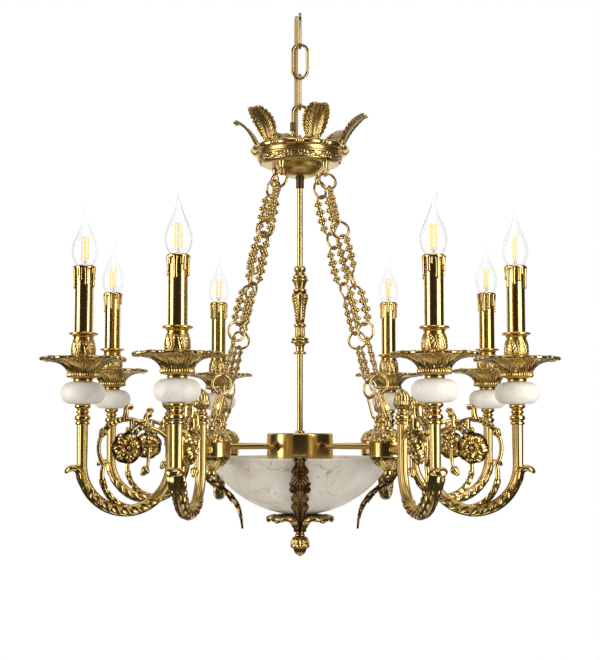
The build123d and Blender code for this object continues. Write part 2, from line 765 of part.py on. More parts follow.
def candle_collar_shape():
    """Turned collar between the outer leg and the stone bead."""
    tall = collar_height
    wide = arm_radius + 3
    return turned([
        (arm_radius + 0.9, 0), (arm_radius + 1.9, tall * 0.07, arm_radius + 0.9, tall * 0.14),
        (arm_radius, tall * 0.18),
        (wide + 0.6, tall * 0.32, arm_radius, tall * 0.48), (arm_radius - 1, tall * 0.54),
        (arm_radius + 0.9, tall * 0.62, arm_radius - 1, tall * 0.7), (arm_radius + 0.6, tall * 0.78),
        (wide, tall * 0.86, arm_radius + 2, tall),
    ], nipple_radius + fit_gap)


def bead_shape():
    """Flattened stone bead."""
    round_edge = bead_height * 0.47
    flat = bead_radius - round_edge
    skew = round_edge * math.sqrt(0.5)
    return turned([
        (flat, 0), (flat + skew, round_edge - skew, bead_radius, round_edge),
        (bead_radius, bead_height - round_edge),
        (flat + skew, bead_height - round_edge + skew, flat, bead_height),
    ], nipple_radius + fit_gap)


def pan_shape():
    """Drip pan with a lobed rim, standing on z = 0."""
    share = pan_radius / 57.0
    tall = pan_height / 33.0
    skin = turned([
        (12.2 * share, 0), (12.8 * share, 2 * tall, 12.2 * share, 4.2 * tall), (17.5 * share, 5.4 * tall),
        (20.5 * share, 7 * tall), (20.5 * share, 12 * tall), (19.5 * share, 13 * tall),
        (25.5 * share, 22.5 * tall, 40 * share, 28 * tall), (pan_radius, 31 * tall),
        (pan_radius, 33 * tall), (39 * share, 30.4 * tall),
        (23.5 * share, 24.5 * tall, 17.3 * share, 13 * tall),
        (16 * share, 8 * tall),
    ], nipple_radius + fit_gap)
    return one(skin & extrude(Pos(0, 0, -1) * lobed_face(pan_radius, 4.0 * share, pan_lobes), pan_height + 2))


def candle_cup_shape():
    """Leafy candle cup from the pan's floor to the sleeve's seat, z = 0 at the pan's foot."""
    floor = pan_height * 8 / 33.0
    top = cup_z - pan_z
    rim = sleeve_radius * 1.48
    seat = top - sleeve_seat
    return turned([
        (14.0, floor), (16.5, floor + 12), (15.2, pan_height + 2), (13.4, pan_height + 12),
        (sleeve_radius + 0.6, top - 14), (sleeve_radius + 1.6, top - 6, rim, top - 2), (rim - 0.4, top),
        (sleeve_radius + fit_gap, top), (sleeve_radius + fit_gap, seat),
    ], nipple_radius + fit_gap)


def sleeve_shape():
    """Candle sleeve with wax drips round its top, from its seat at z = 0."""
    long = sleeve_length + sleeve_seat
    skin = tube(sleeve_radius, sleeve_radius - sleeve_wall, long)
    extras = []
    for k, bearing in enumerate(around(drip_count, 20)):
        drop = 9 + 21 * (0.5 + 0.5 * math.sin(2.4 * k + 0.6))
        wide = 1.9 + 0.5 * math.cos(1.7 * k)
        x, y = polar(sleeve_radius + 0.2, bearing)
        drip = Cylinder(wide, drop - 2, align=standing) + Sphere(wide)
        extras.append(Pos(x, y, long - drop) * drip)
    lip = Pos(0, 0, long - 2.4) * Torus(sleeve_radius, 2.2)
    whole = skin + lip + extras
    bore = Cylinder(sleeve_radius - sleeve_wall, 4 * long)
    return one(whole - bore)


def holder_shape():
    """Lamp holder inside the sleeve with the screw shell's bore at its top."""
    outer = sleeve_radius - sleeve_wall - fit_gap
    waist = nipple_radius + 1.6
    top = sleeve_length + sleeve_seat - holder_drop
    floor = top - lamp_thread_length
    shell = turned([
        (outer, 0), (outer, 3), (waist, 5), (waist, floor - 8), (outer - 0.6, floor - 4), (outer - 0.6, top),
    ], nipple_radius + fit_gap)
    core = Pos(0, 0, floor - 6) * Cylinder(waist, 4, align=standing)
    bore = Cylinder(lamp_thread_radius + thread_gap, lamp_thread_length + 4, align=standing)
    return one(shell + core - Pos(0, 0, floor) * bore)


def bulb_shape():
    """Bulb as glass, cap and filament frame; z = 0 is the sleeve's top."""
    tall = bulb_height
    foot = -holder_drop + 2

    def glass_body(thin):
        rows = [
            (foot, bulb_neck, 0), (0, bulb_neck + 1.2, 0), (tall * 0.14, bulb_radius * 0.93, 0),
            (tall * 0.28, bulb_radius, 0), (tall * 0.46, bulb_radius * 0.78, 0),
            (tall * 0.64, bulb_radius * 0.42, 0.4), (tall * 0.8, bulb_radius * 0.17, -0.6),
            (tall * 0.91, bulb_radius * 0.10, -2.2), (tall, bulb_radius * 0.06, -5.0),
        ]
        rings = [Pos(shift, 0, z) * Circle(radius - thin * min(1, radius / 6)) for z, radius, shift in rows]
        return loft(rings)

    inner = glass_body(0.8)
    cut = Pos(0, 0, tall * 0.82) * Box(4 * bulb_radius, 4 * bulb_radius, tall, align=standing)
    glass = one(glass_body(0) - (inner - cut))
    flange = -holder_drop + thread_gap
    shell_foot = flange - lamp_thread_length
    cap = turned([
        (2.2, shell_foot), (4.4, shell_foot + 3), (lamp_thread_radius, shell_foot + 5),
        (lamp_thread_radius, flange), (bulb_neck, flange), (bulb_neck, foot),
    ])
    stem = turned([(4.2, foot), (3.6, 0), (1.1, 6)])
    low, high = 1.0, 32.0
    spread = 4.6
    sticks = []
    for bearing in around(4, 45):
        x, y = polar(spread, bearing)
        sticks.append(Pos(x, y, low + 4) * Cylinder(0.9, high - low, align=standing))
    discs = [Pos(0, 0, z) * Cylinder(spread + 1.5, 0.8) for z in (low + 4, high + 4)]
    mast = Pos(0, 0, 5) * Cylinder(0.8, high, align=standing)
    frame = one(stem + discs + sticks + mast)
    return glass, cap, frame


def arms_and_candles():
    """Arms in pairs, scrolls, acorns and the eight candles."""
    arm = arm_shape()
    scroll = scroll_shape()
    places = arm_places()
    for number in range(quarter_count):
        save(f"arm_pair_{number + 1}", [base * arm for index, base in places if index == number])
    bases = [base for index, base in places]
    near, far = arm_reach - arm_span, arm_reach

    def group(name, shape, out, height):
        save(name, [base * Pos(out, 0, height - arm_centre_z) * shape for base in bases])

    save("arm_scrolls", [base * scroll for base in bases])
    group("leg_collars", leg_collar_shape(), near, leg_top_z)
    group("acorns", acorn_shape(), near, leg_top_z + collar_height * 0.62)
    group("candle_collars", candle_collar_shape(), far, leg_top_z)
    group("stone_beads", bead_shape(), far, bead_z)
    group("drip_pans", pan_shape(), far, pan_z)
    group("candle_cups", candle_cup_shape(), far, pan_z)
    group("candle_sleeves", sleeve_shape(), far, cup_z - sleeve_seat)
    group("lamp_holders", holder_shape(), far, cup_z - sleeve_seat)
    nipple = Cylinder(nipple_radius, cup_z - sleeve_seat + 3 - leg_top_z, align=standing)
    group("candle_nipples", nipple, far, leg_top_z)
    bulb = bulb_shape()
    for number, base in enumerate(bases):
        at = base * Pos(far, 0, sleeve_top_z - arm_centre_z)
        save(f"bulb_{number + 1}", [at * piece for piece in bulb])


def flower_link(span):
    """Link with two strands of flowers, in the XZ plane."""
    length = span - 2 * flower_link_wire
    link = wire_loop(length, flower_link_width - 2 * flower_link_wire, 2 * flower_link_wire)
    side = flower_link_width / 2
    flowers = []
    for share, radius in ((-0.27, 5.2), (0.0, 6.6), (0.27, 5.2)):
        for strand in (-side, side):
            face = lobed_face(radius, radius * 0.3, 4)
            petal = extrude(Rot(90, 0, 0) * face, radius * 0.42, both=True)
            flowers.append(Pos(strand, 0, share * span) * petal)
    return one(link + flowers)


def chain_frames():
    """Top eye, direction and length of every decorative chain."""
    frames = []
    for post, foot in zip(post_bearings, quarter_bearings):
        x, y = polar(post_circle_radius, post)
        top = Vector(x, y, deck_z - post_length - eye_radius)
        x, y = polar(spindle_circle_radius, foot)
        bottom = Vector(x, y, spindle_top_z + eye_seat + eye_radius)
        way = (bottom - top).normalized()
        frames.append((top + way * eye_radius, way, (bottom - top).length - 2 * eye_radius))
    return frames


def decorative_chains():
    """Rings, flower links, quick links and sleeves from the crown posts to the spindles."""
    wires = [eye_wire]
    for k in range(chain_ring_count):
        wires.append(ring_wire)
        wires.append(flower_link_wire if k < chain_ring_count - 1 else chain_quick_wire)
    wires.append(eye_wire)
    hooks = [a + b + running_gap for a, b in zip(wires, wires[1:])]
    length = chain_frames()[0][2]
    quick_span = chain_quick_length + 2 * chain_quick_wire
    spare = length + sum(hooks) - chain_ring_count * 2 * ring_radius - quick_span
    link_length = spare / (chain_ring_count - 1)
    spans = []
    for k in range(chain_ring_count):
        spans.append(2 * ring_radius)
        spans.append(link_length if k < chain_ring_count - 1 else quick_span)
    ring = Rot(90, 0, 0) * Torus(ring_radius, ring_wire)
    link = flower_link(link_length)
    mouth = (quick_span * 0.06, quick_span * 0.06 + 2.4 * chain_quick_wire)
    quick = wire_loop(chain_quick_length, chain_quick_width, 2 * chain_quick_wire, mouth)
    sleeve = quick_sleeve(4.6 * chain_quick_wire, 2 * chain_quick_wire, chain_sleeve_wall)
    side = chain_quick_width / 2 + chain_quick_wire
    sleeve = Pos(-side, 0, sum(mouth) / 2) * sleeve
    rings, links, quicks = [], [], []
    for number, (start, way, reach) in enumerate(chain_frames()):
        across = way.cross(Vector(0, 0, 1)).normalized()
        bearing = quarter_bearings[number]
        turns = front_chain_turns if way.Y < 0 else back_chain_turns
        side_sign = 1 if way.X > 0 else -1
        at = 0.0
        for k, span in enumerate(spans):
            at -= hooks[k]
            middle = start + way * (at + span / 2)
            at += span
            roll = bearing + side_sign * turns[k]
            seat = Plane(origin=middle, x_dir=across, z_dir=way).location * Rot(0, 0, roll)
            if k % 2 == 0:
                rings.append(seat * ring)
            elif k < len(spans) - 1:
                links.append(seat * link)
            else:
                quicks.append(seat * quick)
                save(f"chain_sleeve_{number + 1}", seat * sleeve)
    save("chain_rings", rings)
    save("chain_flower_links", links)
    save("chain_quick_links", quicks)


hanging_chain()
crown(supply_cable())
stem()
hub()
bowl()
spindles()
arms_and_candles()
decorative_chains()
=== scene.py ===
import math

import bmesh
import bpy
import numpy as np
from mathutils import Matrix, Vector


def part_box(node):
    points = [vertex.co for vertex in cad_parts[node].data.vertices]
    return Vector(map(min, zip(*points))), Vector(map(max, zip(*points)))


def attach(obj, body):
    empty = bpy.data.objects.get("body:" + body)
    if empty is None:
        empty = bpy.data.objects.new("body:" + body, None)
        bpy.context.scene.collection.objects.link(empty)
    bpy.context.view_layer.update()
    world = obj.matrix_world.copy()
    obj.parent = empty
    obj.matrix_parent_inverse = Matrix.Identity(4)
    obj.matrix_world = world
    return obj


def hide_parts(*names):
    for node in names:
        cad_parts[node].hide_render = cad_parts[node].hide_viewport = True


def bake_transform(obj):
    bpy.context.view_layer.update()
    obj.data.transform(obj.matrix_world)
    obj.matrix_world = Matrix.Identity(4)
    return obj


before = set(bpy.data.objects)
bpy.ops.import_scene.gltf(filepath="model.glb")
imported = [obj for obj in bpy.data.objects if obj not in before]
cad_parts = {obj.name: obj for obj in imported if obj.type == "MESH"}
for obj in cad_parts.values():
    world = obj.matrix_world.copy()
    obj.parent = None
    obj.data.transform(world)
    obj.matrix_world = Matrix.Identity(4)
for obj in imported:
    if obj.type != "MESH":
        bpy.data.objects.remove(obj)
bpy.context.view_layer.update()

# Sizes are in millimetres and degrees; meshes are written in metres.
MM = 0.001
TURN = 2 * math.pi

# Hanging chain and cable
link_wire = 4.8
link_inner_length = 47.0
link_inner_width = 17.4
running_gap = 0.15
link_step = link_inner_length - running_gap
quick_mouth_drop = 6.5
quick_sleeve_length = 13.0
quick_sleeve_wall = 1.9
cable_radius = 3.0
cable_off = link_wire / 2 + cable_radius + 0.35

# Crown
crown_rim_radius = 69.0
crown_rim_roll = 5.0
crown_deck_radius = 57.0
crown_turn = 9.0
rim_units = 12
boss_radius = 37.0
leaf_count = 6
leaf_start = 17.0
leaf_width = 38.0
leaf_rise = 48.0
leaf_bend = 62.0
post_circle_radius = 46.0
post_length = 10.0

# Stem, hub and bowl
stem_radius = 4.25
coupler_radius = 6.6
hub_radius = 48.5
rod_radius = 3.9
bowl_rim_radius = 136.0
bowl_depth = 84.0
bowl_wall = 7.0
cup_rim_radius = 49.0
finial_radius = 13.0

# Arms
spindle_circle_radius = 171.0
spindle_radius = 26.0
arm_turns = [(-30.0, 23.0), (-36.0, 35.0), (-39.0, 37.0), (-23.0, 35.0)]
arm_reach = 180.0
arm_span = 121.0
arm_radius = 7.6
arm_centre_drop = 42.0
scroll_radius = 38.5
scroll_rise = 22.5
rosette_radius = 20.6

# Candles
bead_radius = 29.5
pan_radius = 57.0
pan_lobes = 8
sleeve_radius = 13.1
wax_drip_count = 12
bulb_height = 79.0
glass_wall = 0.75
filament_circle_radius = 4.5
filament_low = 7.8
filament_high = 37.8
bulb_turns = [-105.0, -58.0, -99.0, 100.0, 124.0, 8.0, 158.0, 10.0]

# Decorative chains from the crown to the spindles
eye_radius = 5.0
eye_wire = 1.7
eye_seat = 27.0
ring_radius = 13.2
ring_wire = 2.0
flower_link_width = 16.5
flower_link_wire = 1.6
chain_quick_length = 36.0
chain_quick_width = 10.0
chain_quick_wire = 1.9
chain_ring_count = 5
front_chain_turns = [-29.0, 80.0, -20.0, 40.0, -80.0, -20.0, 38.0, 98.0, 23.0, -60.0]
back_chain_turns = [50.0, -10.0, 55.0, -5.0, 60.0, -58.0, 2.0, 65.0, -50.0, 30.0]

quarter_bearings = [45.0, 135.0, 225.0, 315.0]
post_bearings = [bearing + crown_turn for bearing in quarter_bearings]
arm_near = arm_reach - arm_span
arm_bend = arm_span / 2
arm_middle = arm_reach - arm_bend


def levels(node):
    """Lowest and highest level of a solid, in millimetres."""
    low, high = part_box(node)
    return low[2] / MM, high[2] / MM


deck_z, rim_z = levels("crown_dish")
boss_z = levels("crown_boss")[0]
coupler_z = levels("stem_coupler")[0]
baluster_z, baluster_top_z = levels("stem_baluster")
hub_z, hub_top_z = levels("hub_drum")
bowl_z, bowl_rim_z = levels("stone_bowl")
cup_foot_z = levels("bowl_cup")[0]
finial_z = levels("bowl_finial")[0]
collar_z, collar_top_z = levels("spindle_collars")
rod_z = sum(levels("hub_rods")) / 2
leg_top_z, bead_z = levels("candle_collars")
acorn_z, acorn_top_z = levels("acorns")
pan_z, pan_rim_z = levels("drip_pans")
cup_top_z = levels("candle_cups")[1]
sleeve_z, sleeve_top_z = levels("candle_sleeves")
arm_centre_z = hub_top_z - arm_centre_drop
leg_length = leg_top_z - arm_centre_z


# Places


def polar(radius, bearing):
    """Point at a radius and a bearing that starts at the front and turns towards +X."""
    turn = math.radians(bearing)
    return (radius * math.sin(turn), -radius * math.cos(turn))


def place(x=0.0, y=0.0, z=0.0, turn=0.0):
    """Matrix of a place in millimetres, turned about Z."""
    return Matrix.Translation(Vector((x, y, z)) * MM) @ Matrix.Rotation(math.radians(turn), 4, "Z")


def facing(bearing, radius=0.0, z=0.0):
    """Place at a bearing whose local X points outward."""
    x, y = polar(radius, bearing)
    return place(x, y, z, bearing - 90.0)


def around(count, start=0.0):
    """Even bearings round the axis."""
    return [start + 360.0 * k / count for k in range(count)]


arm_places = [facing(bearing, spindle_circle_radius, arm_centre_z) @ place(turn=turn)
              for bearing, turns in zip(quarter_bearings, arm_turns) for turn in turns]


# Lines and outlines


def arc(a, b, c, steps):
    """Points from a to c on the circle through b, without a itself."""
    (ax, ay), (bx, by), (cx, cy) = a, b, c
    d = 2 * (ax * (by - cy) + bx * (cy - ay) + cx * (ay - by))
    sa, sb, sc = ax * ax + ay * ay, bx * bx + by * by, cx * cx + cy * cy
    x = (sa * (by - cy) + sb * (cy - ay) + sc * (ay - by)) / d
    y = (sa * (cx - bx) + sb * (ax - cx) + sc * (bx - ax)) / d
    radius = math.hypot(ax - x, ay - y)
    first = math.atan2(ay - y, ax - x)
    sweep = (math.atan2(cy - y, cx - x) - first) % TURN
    if (math.atan2(by - y, bx - x) - first) % TURN > sweep:
        sweep -= TURN
    turns = [first + sweep * k / steps for k in range(1, steps + 1)]
    return [(x + radius * math.cos(t), y + radius * math.sin(t)) for t in turns]


def outline_points(outline, steps=7, spacing=2.0):
    """Points along an outline; a step of four numbers is an arc through its first two."""
    points = [tuple(outline[0])]
    for step in outline[1:]:
        at, end = points[-1], tuple(step[-2:])
        if len(step) == 4:
            points += arc(at, step[:2], end, steps)
        else:
            cuts = max(1, round(math.dist(at, end) / spacing))
            points += [tuple(np.add(at, np.subtract(end, at) * k / cuts)) for k in range(1, cuts + 1)]
    return np.array(points)


def bent_line(start, heading, runs, spacing=1.2):
    """Line in the XZ plane from a start and heading; each run is a length and an even turn."""
    x, z = start
    turn = math.radians(heading)
    points = [(x, 0.0, z)]
    for length, bend in runs:
        cuts = max(2, math.ceil(length / spacing), math.ceil(abs(bend) / 9))
        for _ in range(cuts):
            turn += math.radians(bend) / cuts / 2
            x += length / cuts * math.cos(turn)
            z += length / cuts * math.sin(turn)
            turn += math.radians(bend) / cuts / 2
            points.append((x, 0.0, z))
    return np.array(points)


def shares(points):
    """Share of the length at every point of a line."""
    steps = np.linalg.norm(np.diff(points, axis=0), axis=1)
    total = np.concatenate([[0.0], np.cumsum(steps)])
    return total / total[-1]


def along(points, share):
    """Points of a line at shares of its length."""
    known = shares(points)
    return np.stack([np.interp(share, known, points[:, k]) for k in range(points.shape[1])], -1)


def directions(points, closed=False):
    """Unit direction at every point of a line."""
    if closed:
        step = np.roll(points, -1, 0) - np.roll(points, 1, 0)
    else:
        step = np.gradient(points, axis=0)
    return step / np.linalg.norm(step, axis=1, keepdims=True)


def smooth(value, low, high):
    """Soft step from 0 at low to 1 at high."""
    t = np.clip((value - low) / (high - low), 0.0, 1.0)
    return t * t * (3 - 2 * t)


# Meshes


class Casting:
    """Surfaces gathered into one mesh. Relief is 0 in recesses and 1 on ridges."""

    def __init__(self):
        self.points, self.faces, self.relief = [], [], []
        self.count = 0

    def add(self, grid, relief=0.7, closed_along=False, closed_round=True, caps=True, move=None):
        """One grid of points: rows run along the piece, columns run round it."""
        rows, cols = grid.shape[:2]
        index = self.count + np.arange(rows * cols).reshape(rows, cols)
        near = index if closed_along else index[:-1]
        far = np.roll(index, -1, 0) if closed_along else index[1:]
        if closed_round:
            quads = np.stack([near, np.roll(near, -1, 1), np.roll(far, -1, 1), far], -1)
        else:
            quads = np.stack([near[:, :-1], near[:, 1:], far[:, 1:], far[:, :-1]], -1)
        self.faces += quads.reshape(-1, 4).tolist()
        if caps and closed_round and not closed_along:
            self.faces += [index[0][::-1].tolist(), index[-1].tolist()]
        flat = grid.reshape(-1, 3)
        if move is not None:
            turn = np.array(move.to_3x3())
            flat = flat @ turn.T + np.array(move.translation) / MM
        self.points.append(flat)
        self.relief.append(np.broadcast_to(relief, (rows, cols)).reshape(-1))
        self.count += rows * cols

    def mesh(self, name, sharp=42.0):
        """The finished mesh, smooth but for its sharp edges."""
        mesh = bpy.data.meshes.new(name)
        mesh.from_pydata((np.concatenate(self.points) * MM).tolist(), [], self.faces)
        values = np.clip(np.concatenate(self.relief), 0, 1).astype(np.float32)
        mesh.attributes.new("relief", "FLOAT", "POINT").data.foreach_set("value", values)
        shell = bmesh.new()
        shell.from_mesh(mesh)
        bmesh.ops.recalc_face_normals(shell, faces=shell.faces)
        shell.to_mesh(mesh)
        shell.free()
        mesh.shade_smooth()
        mesh.set_sharp_from_angle(angle=math.radians(sharp))
        return mesh


def turned(casting, outline, cols=56, relief=None, depth=0.0, warp=None, move=None, steps=7, spacing=2.0,
           caps=True):
    """Solid of revolution about Z whose skin may carry a relief and be warped."""
    line = outline_points(outline, steps, spacing)
    share = shares(line)[:, None]
    angle = np.linspace(0, TURN, cols, endpoint=False)[None, :]
    out = directions(line)
    out = np.stack([out[:, 1], -out[:, 0]], -1)
    height = np.zeros((len(line), cols)) if relief is None else relief(angle, share) + 0 * angle * share
    radius = line[:, :1] + out[:, :1] * depth * height
    level = line[:, 1:] + out[:, 1:] * depth * height
    if warp:
        radius, level = warp(angle, radius, level)
    grid = np.stack([radius * np.cos(angle), radius * np.sin(angle), level + 0 * angle], -1)
    casting.add(grid, 0.7 if relief is None else height, caps=caps, move=move)


def tube(casting, path, radius, cols=14, closed=False, flat=1.0, side=(0, 1, 0), relief=0.7, move=None):
    """Bar along a line; its radius may change along and round it, and flat widens it towards the side."""
    ahead = directions(path, closed)
    normal = np.cross(np.array(side, float), ahead)
    normal /= np.linalg.norm(normal, axis=1, keepdims=True)
    across = np.cross(ahead, normal)
    angle = np.linspace(0, TURN, cols, endpoint=False)[None, :]
    size = np.asarray(radius, float)
    size = size if size.ndim == 2 else np.broadcast_to(size, (len(path),))[:, None]
    wide = np.broadcast_to(np.asarray(flat, float), (len(path),))[:, None]
    grid = (path[:, None] + normal[:, None] * (size * np.cos(angle))[..., None]
            + across[:, None] * (size * wide * np.sin(angle))[..., None])
    casting.add(grid, relief, closed_along=closed, move=move)


def leaf(casting, spine, half_width, lobes, thick=1.4, cup=0.0, ribs=1.0, roll=0.0, notch=0.3, lean=0.16,
         wrap=None, cols=18, rows_per_lobe=9, move=None, scallop=0.6, late=1.6, strands=0.0, vein=0.0,
         calm=1.0, veins=1):
    """Acanthus leaf along a line in the XZ plane: lobed edges, a midrib and a rib to every lobe.

    half_width is a function of the share along the leaf; cup lifts the edges, roll turns them back,
    wrap bends the leaf round a bar of that radius, late moves each lobe's crest towards its tip,
    strands adds a second rib beside the midrib, vein sweeps the ribs towards the tip on their way to the
    edge, veins is the number of ribs to a lobe, and the ribs fade out beyond the share calm."""
    rows = lobes * rows_per_lobe + 1
    share = np.linspace(0, 1, rows)[:, None]
    across = np.linspace(-1, 1, cols)[None, :]
    side = np.abs(across)
    sweep = vein * (1 - 0.5 * share)
    lobe = np.sin(math.pi * (lobes * (share - sweep * side) % 1.0) ** late)
    rib = np.sin(math.pi * (veins * lobes * (share - sweep * side) % 1.0) ** (late / veins))
    edge = np.sin(math.pi * (lobes * (share - sweep) % 1.0) ** late)
    fade = 1 - smooth(share, calm, calm + 0.12)
    width = half_width(share) * (1 - notch * fade * (1 - edge ** scallop) * smooth(share, 0.0, 0.06))
    place_along = share + lean * side * (1 - share)
    known = shares(spine)
    ahead = directions(spine)
    centre = np.stack([np.interp(place_along, known, spine[:, k]) for k in range(3)], -1)
    heading = np.stack([np.interp(place_along, known, ahead[:, k]) for k in range(3)], -1)
    normal = np.stack([-heading[..., 2], heading[..., 1], heading[..., 0]], -1)
    normal /= np.linalg.norm(normal, axis=-1, keepdims=True)
    midrib = np.exp(-(side / 0.11) ** 2) + strands * np.exp(-((side - 0.32) / 0.09) ** 2)
    height = (0.35 * midrib + 0.65 * rib * smooth(side, 0.06, 0.4)) * (0.6 + 0.4 * smooth(share, 0, 0.2))
    height = fade * height + 0.6 * (1 - fade)
    broad = half_width(share) / np.max(half_width(share))
    lift = ribs * height + broad * (cup * side ** 2 - roll * smooth(side, 0.62, 1.0))
    reach = width * across

    def skin(raised):
        if wrap is None:
            return centre + normal * raised[..., None] + np.array([0, 1, 0]) * reach[..., None]
        swing = reach / wrap
        out = wrap + raised
        return (centre + normal * (out * np.cos(swing))[..., None]
                + np.array([0, 1, 0]) * (out * np.sin(swing))[..., None])

    front, back = skin(lift + 0 * reach), skin(lift - thick + 0 * reach)
    grid = np.concatenate([front, back[:, ::-1]], 1)
    value = 0.08 + 0.92 * np.clip(height + 0.5 * smooth(side, 0.86, 1.0) * lobe, 0, 1)
    casting.add(grid, np.concatenate([value, value[:, ::-1]], 1), move=move)


def ball(casting, radius, move=None, cols=16, rows=9, relief=0.8):
    """Round bead."""
    turn = np.linspace(-0.495 * math.pi, 0.495 * math.pi, rows)[:, None]
    angle = np.linspace(0, TURN, cols, endpoint=False)[None, :]
    round_points = [np.cos(turn) * np.cos(angle), np.cos(turn) * np.sin(angle), np.sin(turn) + 0 * angle]
    casting.add(radius * np.stack(round_points, -1), relief, move=move)


def ring_line(radius, cuts=48, start=0.0, end=360.0):
    """Round line in the XZ plane; the full turn is left open at its last point."""
    turns = np.radians(np.linspace(start, end, cuts, endpoint=end - start < 360.0))
    return np.stack([radius * np.cos(turns), 0 * turns, radius * np.sin(turns)], -1)


def level_line(radius, bearings, level):
    """Points round the axis at a radius and a level, along a run of bearings."""
    turns = np.radians(bearings)
    return np.stack([radius * np.sin(turns), -radius * np.cos(turns), 0 * turns + level], -1)


def wire_mesh(name, line, wire, cols=14):
    """Closed ring or link of round wire along a line."""
    casting = Casting()
    tube(casting, line, wire, cols, closed=True)
    return casting.mesh(name)


def loop_line(length, width, wire, cuts=14):
    """Centre line of a long link in the XZ plane, from its inner length and width."""
    half = (width + wire) / 2
    bend = (length - width) / 2
    turns = np.linspace(0, math.pi, cuts)
    top = np.stack([half * np.cos(turns), 0 * turns, bend + half * np.sin(turns)], -1)
    legs = np.linspace(1, -1, 10)[1:-1]
    left = np.stack([0 * legs - half, 0 * legs, bend * legs], -1)
    return np.concatenate([top, left, -top, -left])


# Reliefs round turned pieces, as functions of the angle and the share of the outline


def leaf_relief(across, share, lobes):
    """Height of one standing leaf; across runs from -1 to 1 and share from root to tip."""
    side = np.abs(across)
    lobe = np.abs(np.sin(math.pi * lobes * (share - 0.55 * side)))
    edge = 0.96 * np.sqrt(np.clip(1.02 - share ** 3, 0, 1)) * (0.72 + 0.28 * lobe ** 0.7)
    inside = smooth(edge - side, 0.0, 0.16)
    midrib = np.exp(-(side / 0.12) ** 2)
    return inside * (0.36 + 0.34 * lobe * smooth(side, 0.1, 0.4) + 0.45 * midrib * (1 - 0.4 * share))


def leaf_ring(count, lobes, low=0.0, high=1.0, swirl=0.0, turn=0.0):
    """Leaves side by side, with a second row showing between them."""
    def height(angle, share):
        grown = (share - low) / (high - low)
        base = angle * count / TURN + turn + swirl * grown
        front = leaf_relief(base % 1 * 2 - 1, np.clip(grown, 0, 1), lobes)
        back = leaf_relief((base + 0.5) % 1 * 2 - 1, np.clip(grown * 0.96, 0, 1), lobes)
        inside = smooth(grown, -0.02, 0.03) * (1 - smooth(grown, 0.98, 1.03))
        return inside * np.maximum(front, 0.62 * back)
    return height


def flutes(count, low=0.0, high=1.0):
    """Upright rounded ribs."""
    def height(angle, share):
        inside = smooth(share, low, low + 0.03) * (1 - smooth(share, high - 0.03, high))
        return inside * np.abs(np.cos(count * angle / 2)) ** 0.7
    return height


def both(*reliefs):
    """The higher of several reliefs."""
    return lambda angle, share: np.maximum.reduce([r(angle, share) + 0 * angle * share for r in reliefs])


# Materials


def new_group(name, inputs, outputs):
    """Empty shader group with its sockets; returns the tree and its two end nodes."""
    tree = bpy.data.node_groups.new(name, "ShaderNodeTree")
    for label, kind, value in inputs:
        tree.interface.new_socket(label, in_out="INPUT", socket_type=kind).default_value = value
    for label, kind in outputs:
        tree.interface.new_socket(label, in_out="OUTPUT", socket_type=kind)
    return tree, tree.nodes.new("NodeGroupInput"), tree.nodes.new("NodeGroupOutput")


def add(tree, kind, values=None, links=None, **settings):
    """New node with its settings, socket values and incoming links."""
    node = tree.nodes.new(kind)
    for label, value in settings.items():
        setattr(node, label, value)
    for label, value in (values or {}).items():
        node.inputs[label].default_value = value
    for label, socket in (links or {}).items():
        tree.links.new(socket, node.inputs[label])
    return node


def ramp(tree, source, stops):
    """Ramp of colours or greys over a value."""
    node = add(tree, "ShaderNodeValToRGB", links={0: source})
    band = node.color_ramp
    while len(band.elements) < len(stops):
        band.elements.new(0.5)
    for element, (at, colour) in zip(band.elements, stops):
        element.position = at
        element.color = (*colour, 1) if isinstance(colour, tuple) else (colour, colour, colour, 1)
    return node.outputs["Color"]


def mix_colour(tree, factor, a, b):
    """Mix of two colours; each is a socket or a plain colour."""
    node = add(tree, "ShaderNodeMix", data_type="RGBA")
    ends = {"Factor": node.inputs[0], "A": node.inputs[6], "B": node.inputs[7]}
    for label, value in (("Factor", factor), ("A", a), ("B", b)):
        if isinstance(value, bpy.types.NodeSocket):
            tree.links.new(value, ends[label])
        else:
            ends[label].default_value = value if label == "Factor" else (*value, 1)
    return node.outputs[2]


def maths(tree, operation, a, b=0.0):
    """One sum on two values or sockets."""
    node = add(tree, "ShaderNodeMath", operation=operation)
    for k, value in enumerate((a, b)):
        if isinstance(value, bpy.types.NodeSocket):
            tree.links.new(value, node.inputs[k])
        else:
            node.inputs[k].default_value = value
    return node.outputs[0]


